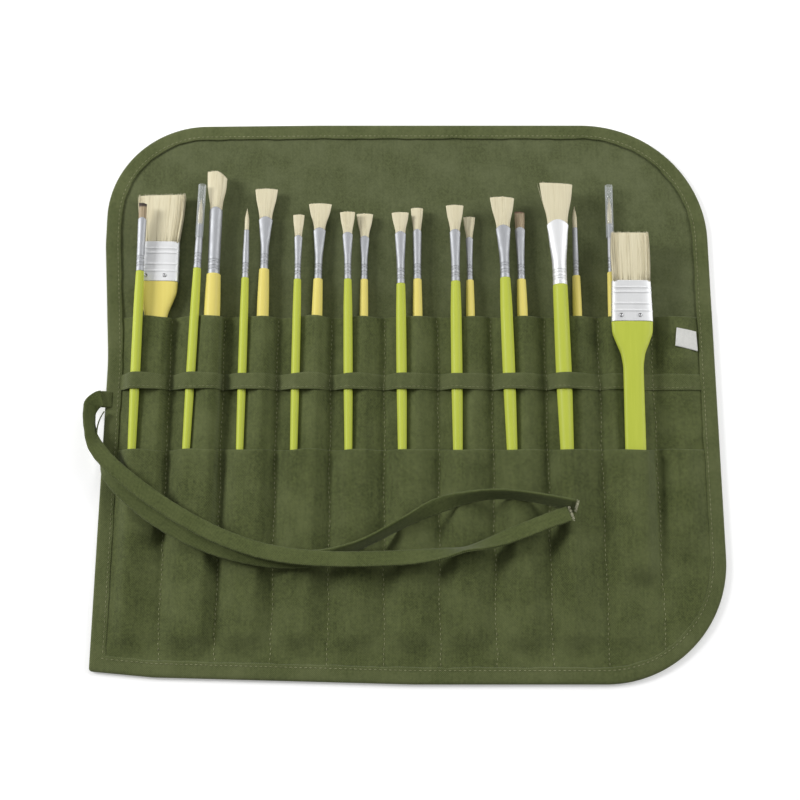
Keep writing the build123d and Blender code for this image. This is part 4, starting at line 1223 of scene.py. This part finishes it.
def makeRivets(brush):
    # domed ring heads with a dimple, pressed into the ferrule face
    profile = np.array([(0.0, 0.02), (0.35, 0.03), (0.6, 0.12), (0.8, 0.34), (1.0, 0.42), (1.15, 0.34), (1.22, 0.12), (1.24, -0.3)])
    angle = np.linspace(0, 2 * math.pi, 28, endpoint=False)
    pointList = []
    faceList = []
    for k, side in enumerate((-7.0, 4.5)):
        r = np.maximum(profile[:, 0], 0.04)[:, None]
        z = 3.4 + profile[:, 1][:, None] + 0 * angle
        x = side + r * np.cos(angle)
        y = brush.base + 3.6 + r * np.sin(angle)
        rows = len(profile)
        block = np.vstack([np.stack([x, y, z], axis=-1).reshape(-1, 3), [[side, brush.base + 3.6, 3.42]], [[side, brush.base + 3.6, 3.1]]])
        start = k * len(block)
        faces = gridFaces(rows, 28, True, start).tolist()
        faces += [[start + rows * 28, start + i, start + (i + 1) % 28] for i in range(28)]
        last = start + (rows - 1) * 28
        faces += [[start + rows * 28 + 1, last + (i + 1) % 28, last + i] for i in range(28)]
        pointList.append(block)
        faceList += faces
    addBrushPiece(brush, brush.name + "Rivets", np.vstack(pointList), faceList, rivetMetal,
                  (brush.name + "_rivets",))


def makeSleeve(brush):
    # a thin clear tube over the tuft, open at both ends, its edges rounded
    start = brush.mouth - 9.0
    outer, inner, length = 2.45, 2.12, 35.0
    path = [(0, outer - 0.08), (0.1, outer), (length - 0.1, outer), (length, outer - 0.08), (length, inner + 0.08),
            (length - 0.1, inner), (0.1, inner), (0, inner + 0.08)]
    angle = np.linspace(0, 2 * math.pi, 48, endpoint=False)
    rings = np.array([[(r * math.cos(a), start + s, r * math.sin(a)) for a in angle] for s, r in path])
    rows = len(path)
    faces = gridFaces(rows + 1, 48, True)
    faces = np.where(faces >= rows * 48, faces - rows * 48, faces)
    piece = newPiece(brush.name + "Sleeve", brush.place(rings), faces, clearTube, outward=True)
    settle(piece, (brush.name + "_sleeve",), brush.name + "_sleeve")


for (colour, strip), brush in brushes.items():
    makeHandle(brush, greenLacquer if colour == "green" else yellowLacquer)
    makeFerrule(brush)
    hair = {("green", 1): sandHair, ("yellow", 8): redHair}.get((colour, strip), creamBristle)
    makeTuft(brush, hair)
    if brush.kind == "wide":
        makeRivets(brush)
    if (colour, strip) in (("green", 2), ("yellow", 10)):
        makeSleeve(brush)
print("brushes done")


# label and tie tab
def makeLabel():
    # a small curved cloth, its right side tucked under the binding
    u, v = np.meshgrid(np.linspace(0, 1, 24), np.linspace(0, 1, 20))
    low = np.array([161.8, 26.6]) + (np.array([176.4, 24.4]) - np.array([161.8, 26.6])) * u[..., None]
    high = np.array([163.2, 38.2]) + (np.array([176.0, 37.0]) - np.array([163.2, 38.2])) * u[..., None]
    flat = low * (1 - v[..., None]) + high * v[..., None]
    z = 8.9 - 4.6 * u + 0.35 * np.sin(math.pi * u) + 0.2 * np.sin(v * 7) * (1 - u)
    points = np.concatenate([flat, z[..., None]], axis=-1).reshape(-1, 3)
    piece = newPiece("careLabel", framePoints(points), gridFaces(*u.shape), labelCloth)
    cloth(piece, 0.3)
    settle(piece, ("care_label",), "end_flap")


makeLabel()


def makeTab():
    # the tie's folded middle: two layers of tape stacked on the left edge; the box of stitches that sews it down is not
    # drawn
    steps = np.linspace(0, 1, 14)
    pointList, faceList, start = [], [], 0
    for low, high, grow in ((2.72, 3.5, 0.0), (3.52, 4.25, -0.4)):
        x = -190.4 + 7.6 * steps
        half = (5.2 + grow) * (0.96 + 0.04 * np.sin(math.pi * steps))
        deep = (high - low) / 2 * np.clip(np.sqrt(np.sin(math.pi * np.clip(steps, 0.03, 0.97))) * 1.15, 0.2, 1)
        local, faces = barMesh(x, half, deep, np.full(14, 0.42), 40)
        # bar runs along x here: swap its across and along
        lift = 1.5 * smoothstep((-183.2 - local[:, 1]) / 6) - 0.45 * smoothstep((local[:, 1] + 185) / 2.2)
        turned = np.c_[local[:, 1], -6.1 + local[:, 0], (low + high) / 2 + local[:, 2] + lift]
        pointList.append(turned)
        faceList += [[i + start for i in f] for f in faces]
        start += len(turned)
    piece = newPiece("tieTab", framePoints(np.vstack(pointList)), faceList, oliveTape, outward=True)
    settle(piece, ("tie_anchor",), "case")


makeTab()


def makeFray():
    # cut ends of the tie: short threads fanning out of the last half millimetre of each tape
    local = np.random.default_rng(31)
    centres, directions = [], []
    for end in ("front", "back"):
        piece, path, steps, tangent, across, through = tie[end]
        spread = local.uniform(-4.6, 4.6, (46, 1)) * mm
        rise = local.uniform(-0.6, 0.6, (46, 1)) * mm
        ahead = unit(tangent[-1] + across[-1] * local.normal(0, 0.45, (46, 1)) + through[-1] * local.normal(0, 0.4, (46, 1)))
        centres.append(path[-1] + across[-1] * spread + through[-1] * rise + ahead * 0.7 * mm)
        directions.append(ahead)
    centres = np.vstack(centres) / mm
    directions = np.vstack(directions)
    side = unit(np.cross(directions, np.array([0.3, 0.2, 0.93])))
    points, faces = stitchMesh(centres, directions, np.cross(side, directions), {"length": 2.4, "gap": 0, "thick": 0.26}, 0.05)
    piece = newPiece("tieFrayedEnds", points * mm, faces, paleThread)
    settle(piece, body="case")


makeFray()


def tieStitches():
    # a row of stitches along each strand, just inside the tape's open edge, on both faces
    centres, directions, ups = [], [], []
    for end in ("front", "back"):
        piece, path, steps, tangent, across, through = tie[end]
        at = np.arange(0.12 * steps[-1], steps[-1] - 4 * mm, 3.1 * mm)
        place, ahead, over, outward = (np.stack([np.interp(at, steps, v[:, i]) for i in range(3)], axis=1)
                                       for v in (path, tangent, across, through))
        for face in (-1, 1):
            centres.append(place + over * 4.05 * mm + outward * face * 0.74 * mm)
            directions.append(ahead)
            ups.append(outward * face)
    points, faces = stitchMesh(np.vstack(centres) / mm, np.vstack(directions), np.vstack(ups),
                               {"length": 1.7, "gap": 0, "thick": 0.3}, 0.08)
    piece = newPiece("tieStitches", points * mm, faces, oliveTape)
    settle(piece, body="case")


tieStitches()


looseUser = {
    "radius": 0.17,
    "routes": {
        "looseThreadLeft": [(-93.6, 47.5, 7.6), (-91.4, 45.6, 8.0), (-89.6, 42.8, 6.6), (-88.8, 40.6, 3.2)],
        "looseThreadRight": [(146.6, 47.6, 2.9), (148.4, 46.2, 3.1), (149.0, 43.9, 2.9), (148.2, 42.4, 2.8)]},
}


def makeLooseThreads():
    # two thin thread ends lying where the pockets were sewn: a round line swept along a curl
    for name, route in looseUser["routes"].items():
        path = splinePoints(route, name)
        steps, tangent, side, normal = alongPath(path)
        ring = np.linspace(0, 2 * math.pi, 6, endpoint=False)
        radius = looseUser["radius"] * mm * np.where(np.arange(len(path)) > 0, 1, 0.4)
        points = (path[:, None] + side[:, None] * (radius[:, None] * np.cos(ring))[..., None]
                  + normal[:, None] * (radius[:, None] * np.sin(ring))[..., None])
        rows = len(path)
        faces = gridFaces(rows, 6, True).tolist() + [list(range(6))[::-1], [(rows - 1) * 6 + i for i in range(6)]]
        settle(newPiece(name, points, faces, threadMaterial, outward=True), body="case")


makeLooseThreads()
print("label, tab and thread ends done")

# floor and light
def addArea(name, place, aim, size, energy, colour=(1, 1, 1)):
    data = bpy.data.lights.new(name, "AREA")
    data.shape = "RECTANGLE"
    data.size, data.size_y = size
    data.energy = energy
    data.color = colour
    lamp = bpy.data.objects.new(name, data)
    bpy.context.scene.collection.objects.link(lamp)
    lamp.location = place
    lamp.rotation_euler = (Vector(aim) - Vector(place)).to_track_quat("-Z", "Y").to_euler()


floorMesh = bpy.data.meshes.new("floor")
floorMesh.from_pydata([(-6, -6, 0), (6, -6, 0), (6, 6, 0), (-6, 6, 0)], [], [[0, 1, 2, 3]])
floorMaterial = bpy.data.materials.new("paleFloor")
floorMaterial.use_nodes = True
floorMaterial.node_tree.nodes["Principled BSDF"].inputs["Base Color"].default_value = (0.93, 0.93, 0.93, 1)
floorMaterial.node_tree.nodes["Principled BSDF"].inputs["Roughness"].default_value = 0.8
floorMaterial.node_tree.nodes["Principled BSDF"].inputs["Emission Color"].default_value = (1, 1, 1, 1)
floorMaterial.node_tree.nodes["Principled BSDF"].inputs["Emission Strength"].default_value = 0.25
floorMesh.materials.append(floorMaterial)
floor = bpy.data.objects.new("floor", floorMesh)
bpy.context.scene.collection.objects.link(floor)
floor.location = (0, 0, -0.0002)

addArea("leftLight", (-1.4, 0.4, 0.9), (0, 0, 0), (0.5, 0.5), 19.5)
addArea("rightLight", (1.4, 0.4, 0.9), (0, 0, 0), (0.8, 0.8), 13.0)
addArea("topLight", (0.0, 1.3, 1.2), (0, 0, 0), (1.4, 0.7), 7.0)
world = bpy.data.worlds.new("studio")
world.use_nodes = True
world.node_tree.nodes["Background"].inputs["Color"].default_value = (1, 1, 1, 1)
world.node_tree.nodes["Background"].inputs["Strength"].default_value = 0.26
bpy.context.scene.world = world
bpy.context.scene.view_settings.view_transform = "Standard"
